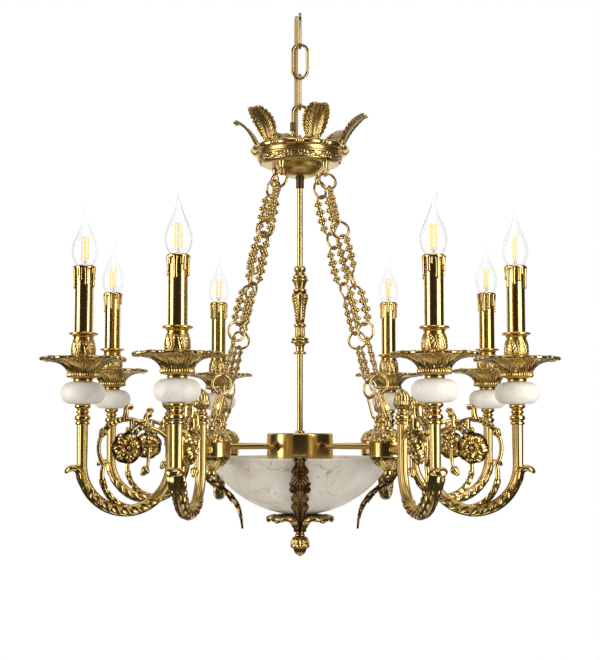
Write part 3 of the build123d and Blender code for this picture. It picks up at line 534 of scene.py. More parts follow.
def make_wax_and_shade():
    """Dark wax in a casting's recesses plus painted shade from ambient occlusion; ridges worn bright."""
    tree, start, end = new_group(
        "wax_and_shade_in_recesses",
        [("Bright", "NodeSocketColor", (0.8, 0.55, 0.2, 1)),
         ("Dark", "NodeSocketColor", (0.1, 0.06, 0.01, 1)),
         ("Amount", "NodeSocketFloat", 1.0), ("Shine", "NodeSocketFloat", 0.25),
         ("Dull", "NodeSocketFloat", 0.5)],
        [("Colour", "NodeSocketColor"), ("Roughness", "NodeSocketFloat"), ("Height", "NodeSocketFloat")])
    where = add(tree, "ShaderNodeTexCoord").outputs["Object"]
    relief = add(tree, "ShaderNodeAttribute", attribute_name="relief").outputs["Fac"]
    blotch = add(tree, "ShaderNodeTexNoise", {"Scale": 95.0, "Detail": 2.0, "Roughness": 0.5},
                 {"Vector": where})
    grain = add(tree, "ShaderNodeTexNoise", {"Scale": 420.0, "Detail": 3.0}, {"Vector": where})
    # Ambient occlusion darkens hollows and the gaps between parts: painted shade.
    shut = add(tree, "ShaderNodeAmbientOcclusion", {"Distance": 0.009}, samples=6, only_local=True)
    open_part = ramp(tree, shut.outputs["AO"], [(0.25, 0.0), (0.85, 1.0)])
    raised = ramp(tree, relief, [(0.06, 0.0), (0.52, 1.0)])
    # Bright where a ridge stands and the skin is open: worn ridges and painted light together.
    rubbed_and_lit = maths(tree, "MULTIPLY", raised,
                   maths(tree, "ADD", maths(tree, "MULTIPLY", open_part, 0.75), 0.25))
    cloudy = maths(tree, "MULTIPLY", maths(tree, "SUBTRACT", blotch.outputs["Fac"], 0.5), 0.30)
    uneven = maths(tree, "ADD", rubbed_and_lit, cloudy)
    # Darkness of the wax and of the painted shade together.
    dark = maths(tree, "SUBTRACT", 1.0, uneven)
    dark.node.use_clamp = True
    mask = maths(tree, "MULTIPLY", dark, start.outputs["Amount"])
    colour = mix_colour(tree, mask, start.outputs["Bright"], start.outputs["Dark"])
    rough = add(tree, "ShaderNodeMapRange", links={"Value": mask, "To Min": start.outputs["Shine"],
                                                   "To Max": start.outputs["Dull"]})
    tree.links.new(colour, end.inputs["Colour"])
    tree.links.new(maths(tree, "ADD", rough.outputs["Result"],
                         maths(tree, "MULTIPLY", maths(tree, "SUBTRACT", grain.outputs["Fac"], 0.5), 0.08)),
                   end.inputs["Roughness"])
    tree.links.new(grain.outputs["Fac"], end.inputs["Height"])
    return tree


def make_brushing():
    """Fine lines of a brushed or spun skin with faint handling marks."""
    tree, start, end = new_group(
        "brushed_lines",
        [("Stretch", "NodeSocketVector", (60.0, 60.0, 2500.0)), ("Shine", "NodeSocketFloat", 0.25),
         ("Dull", "NodeSocketFloat", 0.4)],
        [("Mark", "NodeSocketFloat"), ("Roughness", "NodeSocketFloat"), ("Height", "NodeSocketFloat")])
    where = add(tree, "ShaderNodeTexCoord").outputs["Object"]
    scaled = add(tree, "ShaderNodeVectorMath", links={0: where, 1: start.outputs["Stretch"]},
                 operation="MULTIPLY")
    lines = add(tree, "ShaderNodeTexNoise", {"Scale": 1.0, "Detail": 4.0, "Roughness": 0.65},
                {"Vector": scaled.outputs[0]})
    cloud = add(tree, "ShaderNodeTexNoise", {"Scale": 28.0, "Detail": 3.0}, {"Vector": where})
    rough = add(tree, "ShaderNodeMapRange", {"From Min": 0.3, "From Max": 0.7},
                {"Value": lines.outputs["Fac"], "To Min": start.outputs["Shine"],
                 "To Max": start.outputs["Dull"]})
    tree.links.new(cloud.outputs["Fac"], end.inputs["Mark"])
    tree.links.new(rough.outputs["Result"], end.inputs["Roughness"])
    tree.links.new(lines.outputs["Fac"], end.inputs["Height"])
    return tree


def make_stone():
    """Cloudy stone with tan veins, hair cracks and small brown spots."""
    tree, start, end = new_group(
        "stone_veins",
        [("Scale", "NodeSocketFloat", 1.0), ("Vein", "NodeSocketFloat", 1.0),
         ("Spots", "NodeSocketFloat", 1.0),
         ("Body", "NodeSocketColor", (0.75, 0.71, 0.64, 1)),
         ("Cloud", "NodeSocketColor", (0.6, 0.55, 0.46, 1))],
        [("Colour", "NodeSocketColor"), ("Roughness", "NodeSocketFloat"), ("Height", "NodeSocketFloat")])
    where = add(tree, "ShaderNodeTexCoord").outputs["Object"]
    scaled = add(tree, "ShaderNodeVectorMath", links={0: where, "Scale": start.outputs["Scale"]},
                 operation="SCALE")
    at = scaled.outputs[0]
    drift = add(tree, "ShaderNodeTexNoise", {"Scale": 14.0, "Detail": 5.0, "Roughness": 0.6}, {"Vector": at})
    push = add(tree, "ShaderNodeVectorMath", {"Scale": 0.06}, {0: drift.outputs["Color"]}, operation="SCALE")
    bent = add(tree, "ShaderNodeVectorMath", links={0: at, 1: push.outputs[0]}, operation="ADD").outputs[0]
    cloud = add(tree, "ShaderNodeTexNoise", {"Scale": 22.0, "Detail": 6.0, "Roughness": 0.62},
                {"Vector": bent})
    colour = mix_colour(tree, ramp(tree, cloud.outputs["Fac"], [(0.36, 0.0), (0.66, 1.0)]),
                        start.outputs["Body"], start.outputs["Cloud"])
    patchy = add(tree, "ShaderNodeTexNoise", {"Scale": 11.0, "Detail": 3.0}, {"Vector": at})
    some = ramp(tree, patchy.outputs["Fac"], [(0.40, 0.0), (0.62, 1.0)])
    smear = add(tree, "ShaderNodeTexNoise", {"Scale": 48.0, "Detail": 8.0, "Roughness": 0.72},
                {"Vector": bent})
    tan = maths(tree, "MULTIPLY", ramp(tree, smear.outputs["Fac"], [(0.50, 0.0), (0.68, 1.0)]), some)
    tan = maths(tree, "MULTIPLY", tan, start.outputs["Vein"])
    colour = mix_colour(tree, maths(tree, "MULTIPLY", tan, 0.75), colour, (0.44, 0.30, 0.12))
    broken = add(tree, "ShaderNodeTexNoise", {"Scale": 36.0, "Detail": 4.0}, {"Vector": at})
    vein = 0.0
    for scale, width, low, strength in ((13.0, 0.016, 0.47, 0.7), (31.0, 0.032, 0.50, 0.6)):
        crack = add(tree, "ShaderNodeTexVoronoi", {"Scale": scale}, {"Vector": bent},
                    feature="DISTANCE_TO_EDGE")
        line = ramp(tree, crack.outputs["Distance"], [(0.0, 1.0), (width, 0.0)])
        keep = ramp(tree, broken.outputs["Fac"], [(low, 0.0), (low + 0.14, 1.0)])
        part = maths(tree, "MULTIPLY", maths(tree, "MULTIPLY", line, keep), strength)
        vein = maths(tree, "MAXIMUM", vein, maths(tree, "MULTIPLY", part, start.outputs["Vein"]))
    colour = mix_colour(tree, vein, colour, (0.33, 0.20, 0.06))
    dots = add(tree, "ShaderNodeTexVoronoi", {"Scale": 95.0, "Randomness": 1.0}, {"Vector": bent})
    dot = ramp(tree, dots.outputs["Distance"], [(0.10, 1.0), (0.20, 0.0)])
    rare = ramp(tree, dots.outputs["Color"], [(0.66, 0.0), (0.72, 1.0)])
    spot = maths(tree, "MULTIPLY", maths(tree, "MULTIPLY", dot, rare), start.outputs["Spots"])
    colour = mix_colour(tree, maths(tree, "MULTIPLY", spot, 0.7), colour, (0.22, 0.12, 0.03))
    rough = add(tree, "ShaderNodeMapRange", {"To Min": 0.30, "To Max": 0.52}, {"Value": cloud.outputs["Fac"]})
    tree.links.new(colour, end.inputs["Colour"])
    tree.links.new(rough.outputs["Result"], end.inputs["Roughness"])
    tree.links.new(maths(tree, "SUBTRACT", maths(tree, "MULTIPLY", cloud.outputs["Fac"], 0.4),
                         maths(tree, "ADD", vein, spot)), end.inputs["Height"])
    return tree


wax_and_shade = make_wax_and_shade()
brushing = make_brushing()
stone = make_stone()


def new_material(name):
    """New material; returns it with its node tree and its shader."""
    material = bpy.data.materials.new(name)
    material.use_nodes = True
    tree = material.node_tree
    tree.nodes.clear()
    shader = add(tree, "ShaderNodeBsdfPrincipled")
    add(tree, "ShaderNodeOutputMaterial", links={"Surface": shader.outputs[0]})
    return material, tree, shader


def use_group(tree, group, **values):
    """A shared group placed in a material with its own values."""
    node = add(tree, "ShaderNodeGroup", node_tree=group)
    for label, value in values.items():
        colour = isinstance(value, tuple) and label != "Stretch"
        node.inputs[label].default_value = (*value, 1) if colour else value
    return node


def bump(tree, shader, height, strength, distance):
    """Small bumps from a height."""
    node = add(tree, "ShaderNodeBump", {"Strength": strength, "Distance": distance}, {"Height": height})
    tree.links.new(node.outputs[0], shader.inputs["Normal"])


def cast_metal(name, bright, dark, amount, shine, dull, grain=0.05):
    """Cast metal with dark wax and painted shade in its recesses."""
    material, tree, shader = new_material(name)
    skin = use_group(tree, wax_and_shade, Bright=bright, Dark=dark, Amount=amount, Shine=shine, Dull=dull)
    shader.inputs["Metallic"].default_value = 1.0
    tree.links.new(skin.outputs["Colour"], shader.inputs["Base Color"])
    tree.links.new(skin.outputs["Roughness"], shader.inputs["Roughness"])
    bump(tree, shader, skin.outputs["Height"], grain, 0.0004)
    return material


def spun_metal(name, bright, deep, stretch, shine, dull, strength):
    """Turned or drawn metal with fine brushed lines."""
    material, tree, shader = new_material(name)
    skin = use_group(tree, brushing, Stretch=stretch, Shine=shine, Dull=dull)
    shader.inputs["Metallic"].default_value = 1.0
    tint = ramp(tree, skin.outputs["Mark"], [(0.3, deep), (0.7, bright)])
    tree.links.new(tint, shader.inputs["Base Color"])
    tree.links.new(skin.outputs["Roughness"], shader.inputs["Roughness"])
    bump(tree, shader, skin.outputs["Height"], strength, 0.0002)
    return material


def stone_material(name, scale, vein, spots, body, cloud):
    """Polished stone that lets a little light in."""
    material, tree, shader = new_material(name)
    skin = use_group(tree, stone, Scale=scale, Vein=vein, Spots=spots, Body=body, Cloud=cloud)
    tree.links.new(skin.outputs["Colour"], shader.inputs["Base Color"])
    tree.links.new(skin.outputs["Roughness"], shader.inputs["Roughness"])
    shader.inputs["Subsurface Weight"].default_value = 0.25
    shader.inputs["Subsurface Radius"].default_value = (1.0, 0.8, 0.55)
    shader.inputs["Subsurface Scale"].default_value = 0.006
    bump(tree, shader, skin.outputs["Height"], 0.2, 0.0006)
    return material


def glass_material():
    """Clear bulb glass with faint draw lines; its colour greys towards its edges as painted shade."""
    material, tree, shader = new_material("clear_bulb_glass")
    # Layer Weight greys the glass towards its outline: painted edge shade.
    rim = add(tree, "ShaderNodeLayerWeight", {"Blend": 0.30}).outputs["Facing"]
    edge = ramp(tree, rim, [(0.22, (1.0, 1.0, 1.0)), (0.65, (0.80, 0.82, 0.84)), (0.95, (0.34, 0.37, 0.40))])
    tree.links.new(edge, shader.inputs["Base Color"])
    shader.inputs["Transmission Weight"].default_value = 1.0
    shader.inputs["IOR"].default_value = 1.45
    where = add(tree, "ShaderNodeTexCoord").outputs["Object"]
    drawn = add(tree, "ShaderNodeTexNoise", {"Scale": 40.0, "Detail": 2.0}, {"Vector": where})
    rough = add(tree, "ShaderNodeMapRange", {"To Min": 0.0, "To Max": 0.03}, {"Value": drawn.outputs["Fac"]})
    tree.links.new(rough.outputs["Result"], shader.inputs["Roughness"])
    bump(tree, shader, drawn.outputs["Fac"], 0.04, 0.0005)
    return material


def filament_material():
    """Yellow coating of a filament stick with its row of faint chips, and a painted glow in an unlit bulb."""
    material, tree, shader = new_material("filament_coat_painted_glow")
    where = add(tree, "ShaderNodeTexCoord").outputs["Object"]
    wave = add(tree, "ShaderNodeTexWave", {"Scale": 420.0, "Distortion": 0.6}, {"Vector": where},
               bands_direction="Z")
    tint = ramp(tree, wave.outputs["Fac"], [(0.1, (0.95, 0.50, 0.13)), (0.9, (1.0, 0.68, 0.28))])
    tree.links.new(tint, shader.inputs["Base Color"])
    tree.links.new(tint, shader.inputs["Emission Color"])
    # Painted glow: the coating gives off light of its own though no lamp is lit in it.
    shader.inputs["Emission Strength"].default_value = 0.42
    shader.inputs["Roughness"].default_value = 0.4
    return material


def wire_material():
    """Thin bright wire and pinched glass inside the bulb."""
    material, tree, shader = new_material("bulb_inner_wire")
    where = add(tree, "ShaderNodeTexCoord").outputs["Object"]
    spots = add(tree, "ShaderNodeTexNoise", {"Scale": 300.0}, {"Vector": where})
    tree.links.new(ramp(tree, spots.outputs["Fac"], [(0.3, (0.42, 0.42, 0.44)), (0.7, (0.72, 0.72, 0.74))]),
                   shader.inputs["Base Color"])
    shader.inputs["Metallic"].default_value = 0.8
    shader.inputs["Roughness"].default_value = 0.3
    return material


def plastic_material(name, low, high, roughness):
    """Moulded plastic with a fine orange-peel skin."""
    material, tree, shader = new_material(name)
    where = add(tree, "ShaderNodeTexCoord").outputs["Object"]
    peel = add(tree, "ShaderNodeTexNoise", {"Scale": 700.0, "Detail": 2.0}, {"Vector": where})
    tree.links.new(ramp(tree, peel.outputs["Fac"], [(0.3, low), (0.7, high)]), shader.inputs["Base Color"])
    shader.inputs["Roughness"].default_value = roughness
    bump(tree, shader, peel.outputs["Fac"], 0.15, 0.0002)
    return material


# Each cast metal's dark colour is both its wax and its painted shade in hollows.
antique_brass = cast_metal("antique_brass", (0.74, 0.525, 0.19), (0.042, 0.021, 0.004), 1.0, 0.22, 0.50)
soft_brass = cast_metal("antique_brass_soft", (0.73, 0.525, 0.20), (0.085, 0.048, 0.010), 0.95, 0.27, 0.46)
plain_brass = cast_metal("rubbed_brass", (0.74, 0.53, 0.20), (0.24, 0.15, 0.04), 0.5, 0.22, 0.38)
frieze_brass = cast_metal("frieze_brass", (0.73, 0.53, 0.21), (0.12, 0.07, 0.016), 0.9, 0.28, 0.46)
drip_brass = cast_metal("gilt_wax_brass", (0.75, 0.53, 0.20), (0.09, 0.05, 0.009), 0.9, 0.18, 0.38)
dark_bronze = cast_metal("dark_bronze", (0.30, 0.18, 0.07), (0.018, 0.008, 0.002), 1.0, 0.24, 0.5)
reeded_brass = cast_metal("reeded_brass", (0.73, 0.53, 0.20), (0.14, 0.085, 0.022), 0.75, 0.29, 0.40, 0.01)
link_brass = cast_metal("chain_link_brass", (0.55, 0.40, 0.18), (0.12, 0.075, 0.025), 0.6, 0.16, 0.34)
satin_brass = spun_metal("satin_brass", (0.71, 0.52, 0.20), (0.67, 0.485, 0.18), (70, 70, 2600), 0.28, 0.36,
                         0.03)
drum_brass = spun_metal("drum_brass", (0.72, 0.525, 0.20), (0.68, 0.49, 0.18), (70, 70, 2600), 0.17, 0.24,
                        0.03)
drawn_brass = spun_metal("drawn_brass", (0.74, 0.53, 0.20), (0.68, 0.48, 0.17), (500, 500, 20), 0.20, 0.28,
                         0.02)
polished_brass = spun_metal("polished_brass", (0.78, 0.56, 0.21), (0.72, 0.50, 0.17), (500, 500, 20), 0.13,
                            0.20, 0.015)
bowl_stone = stone_material("bowl_alabaster", 1.0, 1.0, 1.0, (0.70, 0.645, 0.555), (0.60, 0.545, 0.45))
bead_stone = stone_material("bead_alabaster", 1.6, 0.4, 0.15, (0.71, 0.665, 0.60), (0.60, 0.555, 0.48))
clear_glass = glass_material()
filament_coat_painted_glow = filament_material()
inner_wire = wire_material()
white_plastic = plastic_material("moulded_plastic", (0.60, 0.58, 0.54), (0.68, 0.66, 0.62), 0.45)
cable_skin = plastic_material("cable_sheath", (0.30, 0.18, 0.045), (0.42, 0.27, 0.08), 0.20)


def put(mesh, name, material, matrix=None, body="fixture", nodes=()):
    """One piece of the object in its place, on its body."""
    if not mesh.materials:
        mesh.materials.append(material)
    piece = bpy.data.objects.new(name, mesh)
    bpy.context.scene.collection.objects.link(piece)
    piece.matrix_world = matrix or Matrix.Identity(4)
    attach(piece, body)
    if nodes:
        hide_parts(*nodes)
    return piece


def put_all(mesh, name, material, places, nodes=()):
    """The same piece at several places."""
    return [put(mesh, f"{name}_{k + 1}", material, at, nodes=nodes) for k, at in enumerate(places)]


# Hanging chain and cable


def hanging_chain():
    """Three links, the quick link and its screw sleeve."""
    line = loop_line(link_inner_length, link_inner_width, link_wire)
    link = wire_mesh("hanging_link", line, link_wire / 2, 18)
    bodies = ["chain_link_top", "chain_link_middle", "chain_link_bottom", "quick_link"]
    nodes = bodies[:3] + ["hanging_quick_link"]
    middles = [-k * link_step - link_inner_length / 2 for k in range(len(bodies))]
    for k, (body, node) in enumerate(zip(bodies, nodes)):
        put(link, f"{body}_drawn", link_brass, place(z=middles[k], turn=90 * ((k + 1) % 2)), body, [node])
    side = (link_inner_width + link_wire) / 2
    sleeve = Casting()
    screw_sleeve(sleeve, quick_sleeve_length, link_wire / 2 + quick_sleeve_wall)
    put(sleeve.mesh("quick_sleeve"), "quick_link_sleeve_turned", dark_bronze,
        place(-side, 0, middles[-1] - quick_mouth_drop), "quick_link_sleeve", ["hanging_quick_link_sleeve"])


def screw_sleeve(casting, length, radius):
    """Six-sided screw sleeve with chamfered ends and knurled middle."""
    half = length / 2

    def six_sided(angle, r, z):
        flat = math.cos(math.pi / 6) / np.cos((angle + math.pi / 6) % (math.pi / 3) - math.pi / 6)
        return np.minimum(r, radius * flat + 0 * r), z
    turned(casting, [(radius * 0.62, -half), (radius * 0.86, -half), (radius, -half + 1), (radius, half - 1),
                     (radius * 0.86, half), (radius * 0.62, half)], 48, warp=six_sided, spacing=1.0,
           relief=lambda angle, share: 0.16 + 0.12 * np.cos(24 * angle), depth=0.2)


# Crown


def crown():
    """Dish with its frieze, rolled rim, boss, leaves and chain posts."""
    band_top = rim_z - (rim_z - deck_z) * 0.48
    lip = crown_rim_radius - crown_rim_roll
    deck = crown_deck_radius
    casting = Casting()
    frieze_foot = deck_z + 4.6
    turned(casting, [(2, deck_z), (deck - 5, deck_z), (deck - 0.4, deck_z + 1.0, deck + 1.4, frieze_foot)],
           96, caps=False)
    turned(casting, [(deck + 0.8, frieze_foot - 0.6),
                     (deck + 2.6, frieze_foot - 0.3, deck + 2.2, frieze_foot + 0.8),
                     (deck + 4.4, (frieze_foot + band_top) / 2, deck + 5.0, band_top)],
           420, relief=wreath, depth=1.5, spacing=0.5, steps=22, caps=False)
    turned(casting, [(deck + 5.0, band_top - 0.6), (deck + 7.4, band_top + 0.3, deck + 5.0, band_top + 1.4),
                     (deck + 4.6, band_top + 2.6), (deck + 5.0, band_top + 7.0, lip + 1.0, rim_z)], 96,
           caps=False)
    turned(casting, [(lip + 1.0, rim_z), (lip - 2, rim_z), (deck - 2, band_top), (deck - 6, deck_z + 2),
                     (2, deck_z + 2)], 64, caps=False)
    put(casting.mesh("crown_dish_cast"), "crown_dish_cast", frieze_brass, nodes=["crown_dish"])
    crown_rim()
    boss = Casting()
    turned(boss, [(coupler_radius - 1, boss_z), (boss_radius * 0.72, boss_z + (deck_z - boss_z) * 0.3,
                                                 boss_radius - 0.6, deck_z - 0.8),
                  (boss_radius, deck_z)], 80, steps=16)
    put(boss.mesh("crown_boss_spun"), "crown_boss_spun", satin_brass, nodes=["crown_boss"])
    crown_leaves()
    posts = Casting()
    turned(posts, [(2.6, -post_length), (3.2, -post_length), (3.6, -post_length + 1), (5.2, -0.8), (5.6, 0)],
           32)
    tube(posts, ring_line(eye_radius, 32) - np.array([0, 0, post_length + eye_radius]), eye_wire, 12,
         closed=True)
    mesh = posts.mesh("crown_post")
    put_all(mesh, "crown_post_turned", satin_brass,
            [facing(b, post_circle_radius, deck_z) for b in post_bearings], ["crown_chain_posts"])


def wreath(angle, share):
    """Band of small leaves that lie along the frieze on both sides of a wavy stem."""
    count = 18
    run = angle * count / TURN
    wave = 0.5 + 0.22 * np.sin(TURN * run)
    stem = np.exp(-((share - wave) / 0.07) ** 2)
    leaves = 0
    for shift, level in ((0.25, 0.30), (0.75, 0.70)):
        x = (run + shift) % 1 - 0.5
        y = share - level
        slant = x * 0.8 + y * (0.5 if level < 0.5 else -0.5)
        wide = y - x * (0.5 if level < 0.5 else -0.5)
        shape = 1 - (slant / 0.42) ** 2 - (wide / 0.26) ** 2
        rib = 0.6 + 0.4 * np.abs(np.cos(14 * slant + 9 * np.abs(wide)))
        leaves = np.maximum(leaves, smooth(shape, 0.0, 0.35) * rib)
    inside = smooth(share, 0.08, 0.16) * (1 - smooth(share, 0.90, 0.97))
    return inside * np.maximum(leaves, 0.8 * stem)


def crown_rim():
    """Rolled rim of long bars with a pair of pearls between them."""
    casting = Casting()
    unit = 360.0 / rim_units
    for bearing in around(rim_units):
        path = level_line(crown_rim_radius, np.linspace(bearing + unit * 0.16, bearing + unit * 0.84, 18),
                          rim_z)
        swell = np.sin(np.linspace(0.05, math.pi - 0.05, 18)) ** 0.3
        tube(casting, path, crown_rim_roll * (0.62 + 0.40 * swell), 18, side=(0, 0, 1))
        for share in (-0.085, 0.085):
            x, y = polar(crown_rim_radius + 1.6, bearing + unit * share)
            ball(casting, crown_rim_roll * 0.72, place(x, y, rim_z))
    core = level_line(crown_rim_radius - 1, np.linspace(0, 360, 96, endpoint=False), rim_z)
    tube(casting, core, crown_rim_roll * 0.62, 12, closed=True, side=(0, 0, 1), relief=0.2)
    put(casting.mesh("crown_rim_cast"), "crown_rim_cast", plain_brass, nodes=["crown_rim"])


def crown_leaves():
    """Six acanthus leaves that climb from the rim and bend outward, each with a pearl at its root."""
    casting = Casting()
    spine = bent_line((0, 0), leaf_rise + leaf_bend / 2, [(59, 14 - leaf_bend), (8, -110)])

    def half(share):
        return leaf_width * 0.54 * np.sin(math.pi * (0.14 + 0.79 * share)) ** 0.65
    leaf(casting, spine, half, 7, thick=1.9, cup=6.0, ribs=-1.3, roll=5.0, notch=0.13, lean=0.10, cols=36,
         rows_per_lobe=16, scallop=0.5, late=1.0, vein=0.36, veins=2)
    ball(casting, 3.6, place(4.4, 0, 3.4))
    for side in (-1, 1):
        curl = bent_line((0, 0), 35, [(9, 30), (9, 220)])
        curl[:, 1] += side * 8.5
        tube(casting, curl + np.array([-3.0, 0, 0.5]), np.linspace(2.6, 1.2, len(curl)), 10)
    root = crown_rim_radius - crown_rim_roll - 1
    put_all(casting.mesh("crown_leaf"), "crown_leaf_cast", antique_brass,
            [facing(b, root, rim_z + 1.5) for b in around(leaf_count, leaf_start)], ["crown_leaves"])


# Stem


def stem():
    """Coupler, tubes and baluster."""
    casting = Casting()
    turned(casting, [(stem_radius, coupler_z), (stem_radius + 0.9, coupler_z),
                     (coupler_radius * 0.9, coupler_z + 1.2),
                     (coupler_radius * 0.9, boss_z - 3.4), (coupler_radius, boss_z - 2.6),
                     (coupler_radius, boss_z)], 40,
           relief=lambda angle, share: 0.20)
    put(casting.mesh("stem_coupler_turned"), "stem_coupler_turned", dark_bronze, nodes=["stem_coupler"])
    for name, low, high in (("upper", baluster_top_z, coupler_z), ("lower", hub_top_z, baluster_z)):
        casting = Casting()
        turned(casting, [(stem_radius, low), (stem_radius, high)], 32, spacing=20)
        put(casting.mesh(f"stem_{name}_drawn"), f"stem_{name}_drawn", drawn_brass,
            nodes=[f"stem_{name}_tube"])
    baluster()


def baluster():
    """Turned middle of the stem with a leafy vase."""
    unit = (baluster_top_z - baluster_z) / 131.0

    def at(height):
        return baluster_z + height * unit
    casting = Casting()
    turned(casting, [
        (4, at(0)), (8.8, at(0)), (9.6, at(1.6), 8.8, at(3.2)), (6.6, at(4.2)), (6.2, at(8), 6.8, at(12)),
        (9, at(15)),
        (12.7, at(16.2)), (13.8, at(18.2), 12.7, at(20)), (11.3, at(20.6)), (13.0, at(22.5), 11.4, at(24.2)),
        (6.8, at(26))], 56)
    turned(casting, [(6.6, at(25.5)), (6.6, at(40.5))], 72, relief=flutes(10), depth=0.8)
    turned(casting, [(6, at(40)), (9.6, at(42.4), 7.2, at(45.4)), (6.2, at(47))], 56)
    turned(casting, [(6.0, at(46)), (6.8, at(60), 10.6, at(80)), (11.4, at(86), 9.0, at(91)), (6.6, at(92))],
           120, relief=vase_leaves, depth=1.5, spacing=1.0, steps=34)
    turned(casting, [
        (6.6, at(91.5)), (10.3, at(94.5), 7, at(97.4)), (7.6, at(100)), (10.4, at(107.5)),
        (12.6, at(110), 10.8, at(112)),
        (9.8, at(113)), (10.9, at(115), 8.8, at(117)), (6.8, at(122)), (9.1, at(126.5), 7.2, at(130.6)),
        (4, at(131))], 56)
    put(casting.mesh("stem_baluster_cast"), "stem_baluster_cast", soft_brass, nodes=["stem_baluster"])


def vase_leaves(angle, share):
    """Four upright panels of small leaves between smooth bands."""
    across = (angle * 4 / TURN) % 1 * 2 - 1
    side = np.abs(across)
    panel = smooth(0.60 - side, 0.0, 0.06) * smooth(share, 0.06, 0.12) * (1 - smooth(share, 0.84, 0.92))
    beads = np.abs(np.sin(math.pi * (11 * share - 1.1 * side))) ** 0.7
    ends = smooth(share, 0.04, 0.1) * (1 - smooth(share, 0.86, 0.95))
    border = np.exp(-((side - 0.66) / 0.07) ** 2) * ends
    leaves = 0.95 * panel * beads * (0.5 + 0.5 * np.abs(np.cos(math.pi * side / 0.62)))
    return np.maximum(leaves, border) + 0.35 * (side > 0.72)


# Hub, spindles and bowl


def hub():
    """Drum, rods and their nuts."""
    casting = Casting()
    turned(casting, [(hub_radius - 2.2, hub_z), (hub_radius, hub_z), (hub_radius, hub_top_z - 3),
                     (hub_radius - 0.9, hub_top_z - 0.9, hub_radius - 3, hub_top_z),
                     (stem_radius, hub_top_z)], 128)
    turned(casting, [(stem_radius + 2.6, hub_top_z),
                     (stem_radius + 3.0, hub_top_z + 1.6, stem_radius + 0.6, hub_top_z + 3.4),
                     (stem_radius, hub_top_z + 3.6)], 40)
    put(casting.mesh("hub_drum_spun"), "hub_drum_spun", drum_brass, nodes=["hub_drum"])
    rod = Casting()
    reach = spindle_circle_radius - spindle_radius
    path = np.stack([np.linspace(hub_radius - 6, reach + 4, 12), np.zeros(12), np.zeros(12)], -1)
    tube(rod, path, rod_radius, 24, side=(0, 0, 1))
    put_all(rod.mesh("hub_rod"), "hub_rod_drawn", drawn_brass,
            [facing(b, 0, rod_z) for b in quarter_bearings], ["hub_rods"])
    nut = Casting()
    lie = Matrix.Rotation(math.radians(90), 4, "Y")
    turned(nut, [(rod_radius, 0), (7.4, 0), (7.8, 0.6), (7.4, 1.4), (5.6, 1.6), (6.4, 2.2), (6.4, 4.2),
                 (5.8, 4.8), (rod_radius, 4.8)], 36, move=lie)
    put_all(nut.mesh("hub_rod_nut"), "hub_rod_nut_turned", dark_bronze,
            [facing(b, hub_radius - 0.4, rod_z) for b in quarter_bearings], ["hub_rod_nuts"])


def spindles():
    """Collar, leafy cap with its eye, and leafy cup with its ball, at the four rod ends."""
    wide, height = spindle_radius, collar_top_z - collar_z
    collar = Casting()
    turned(collar, [(4, 0), (wide - 1.2, 0), (wide, 1.0), (wide, height - 1.0), (wide - 1.2, height),
                    (4, height)], 80)
    cap = Casting()
    turned(cap, [(4, 0), (wide - 1.2, 0), (wide - 0.6, 1.4, wide - 1.6, 2.8),
                 (wide * 0.78, 10.0, wide * 0.44, 14.6)],
           160, relief=leaf_ring(8, 4, 0.42, 1.0), depth=2.2, spacing=0.8, steps=24)
    turned(cap, [(wide * 0.36, 13.6), (wide * 0.46, 15.2, wide * 0.30, 16.8), (6.5, 18.5, 4.6, 21),
                 (5.6, 22.4, 4.4, 23.8), (3.8, eye_seat)], 40)
    tube(cap, ring_line(eye_radius, 32) + np.array([0, 0, eye_seat + eye_radius]), eye_wire, 12, closed=True)
    cup = Casting()
    end = wide * 0.245
    turned(cup, [(2, -17.6), (end * 0.9, -16.4), (wide * 0.5, -12, wide * 0.85, -4), (wide - 1.8, -0.6),
                 (wide - 2, 0)],
           160, relief=leaf_ring(8, 4, 0.06, 0.97), depth=2.0, spacing=0.8, steps=24)
    knob = Casting()
    ball(knob, end, place(z=-17 - end * 0.75), 28, 17)
    turned(knob, [(2, -19.0), (3.6, -18.2, 2, -17.2)], 28)
    places = [facing(b, spindle_circle_radius, collar_top_z) for b in quarter_bearings]
    low_places = [facing(b, spindle_circle_radius, collar_z) for b in quarter_bearings]
    put_all(collar.mesh("spindle_collar"), "spindle_collar_spun", drum_brass, low_places, ["spindle_collars"])
    put_all(cap.mesh("spindle_cap"), "spindle_cap_cast", antique_brass, places, ["spindle_caps"])
    put_all(cup.mesh("spindle_cup"), "spindle_cup_cast", antique_brass, low_places, ["spindle_cups"])
    put_all(knob.mesh("spindle_knob"), "spindle_knob_turned", polished_brass, low_places)


def bowl():
    """Stone bowl, leafy straps, cup and bud finial."""
    ball_radius = (bowl_rim_radius ** 2 + bowl_depth ** 2) / (2 * bowl_depth)
    centre_z = bowl_rim_z - bowl_depth + ball_radius
    edge = math.asin(bowl_rim_radius / ball_radius)

    def on(radius, share):
        turn = edge * (1 - share)
        return (radius * math.sin(turn), centre_z - radius * math.cos(turn))
    inner = ball_radius - bowl_wall
    casting = Casting()
    turned(casting, [on(ball_radius, 0.97), (*on(ball_radius, 0.5), *on(ball_radius, 0.02)),
                     (bowl_rim_radius - 0.6, bowl_rim_z - 0.4, bowl_rim_radius - 2, bowl_rim_z),
                     (bowl_rim_radius - bowl_wall + 2, bowl_rim_z), (*on(inner, 0.5), *on(inner, 0.97))], 160,
           steps=48)
    put(casting.mesh("stone_bowl_turned"), "stone_bowl_turned", bowl_stone, nodes=["stone_bowl"])
    straps()
    bowl_cup()
    finial()


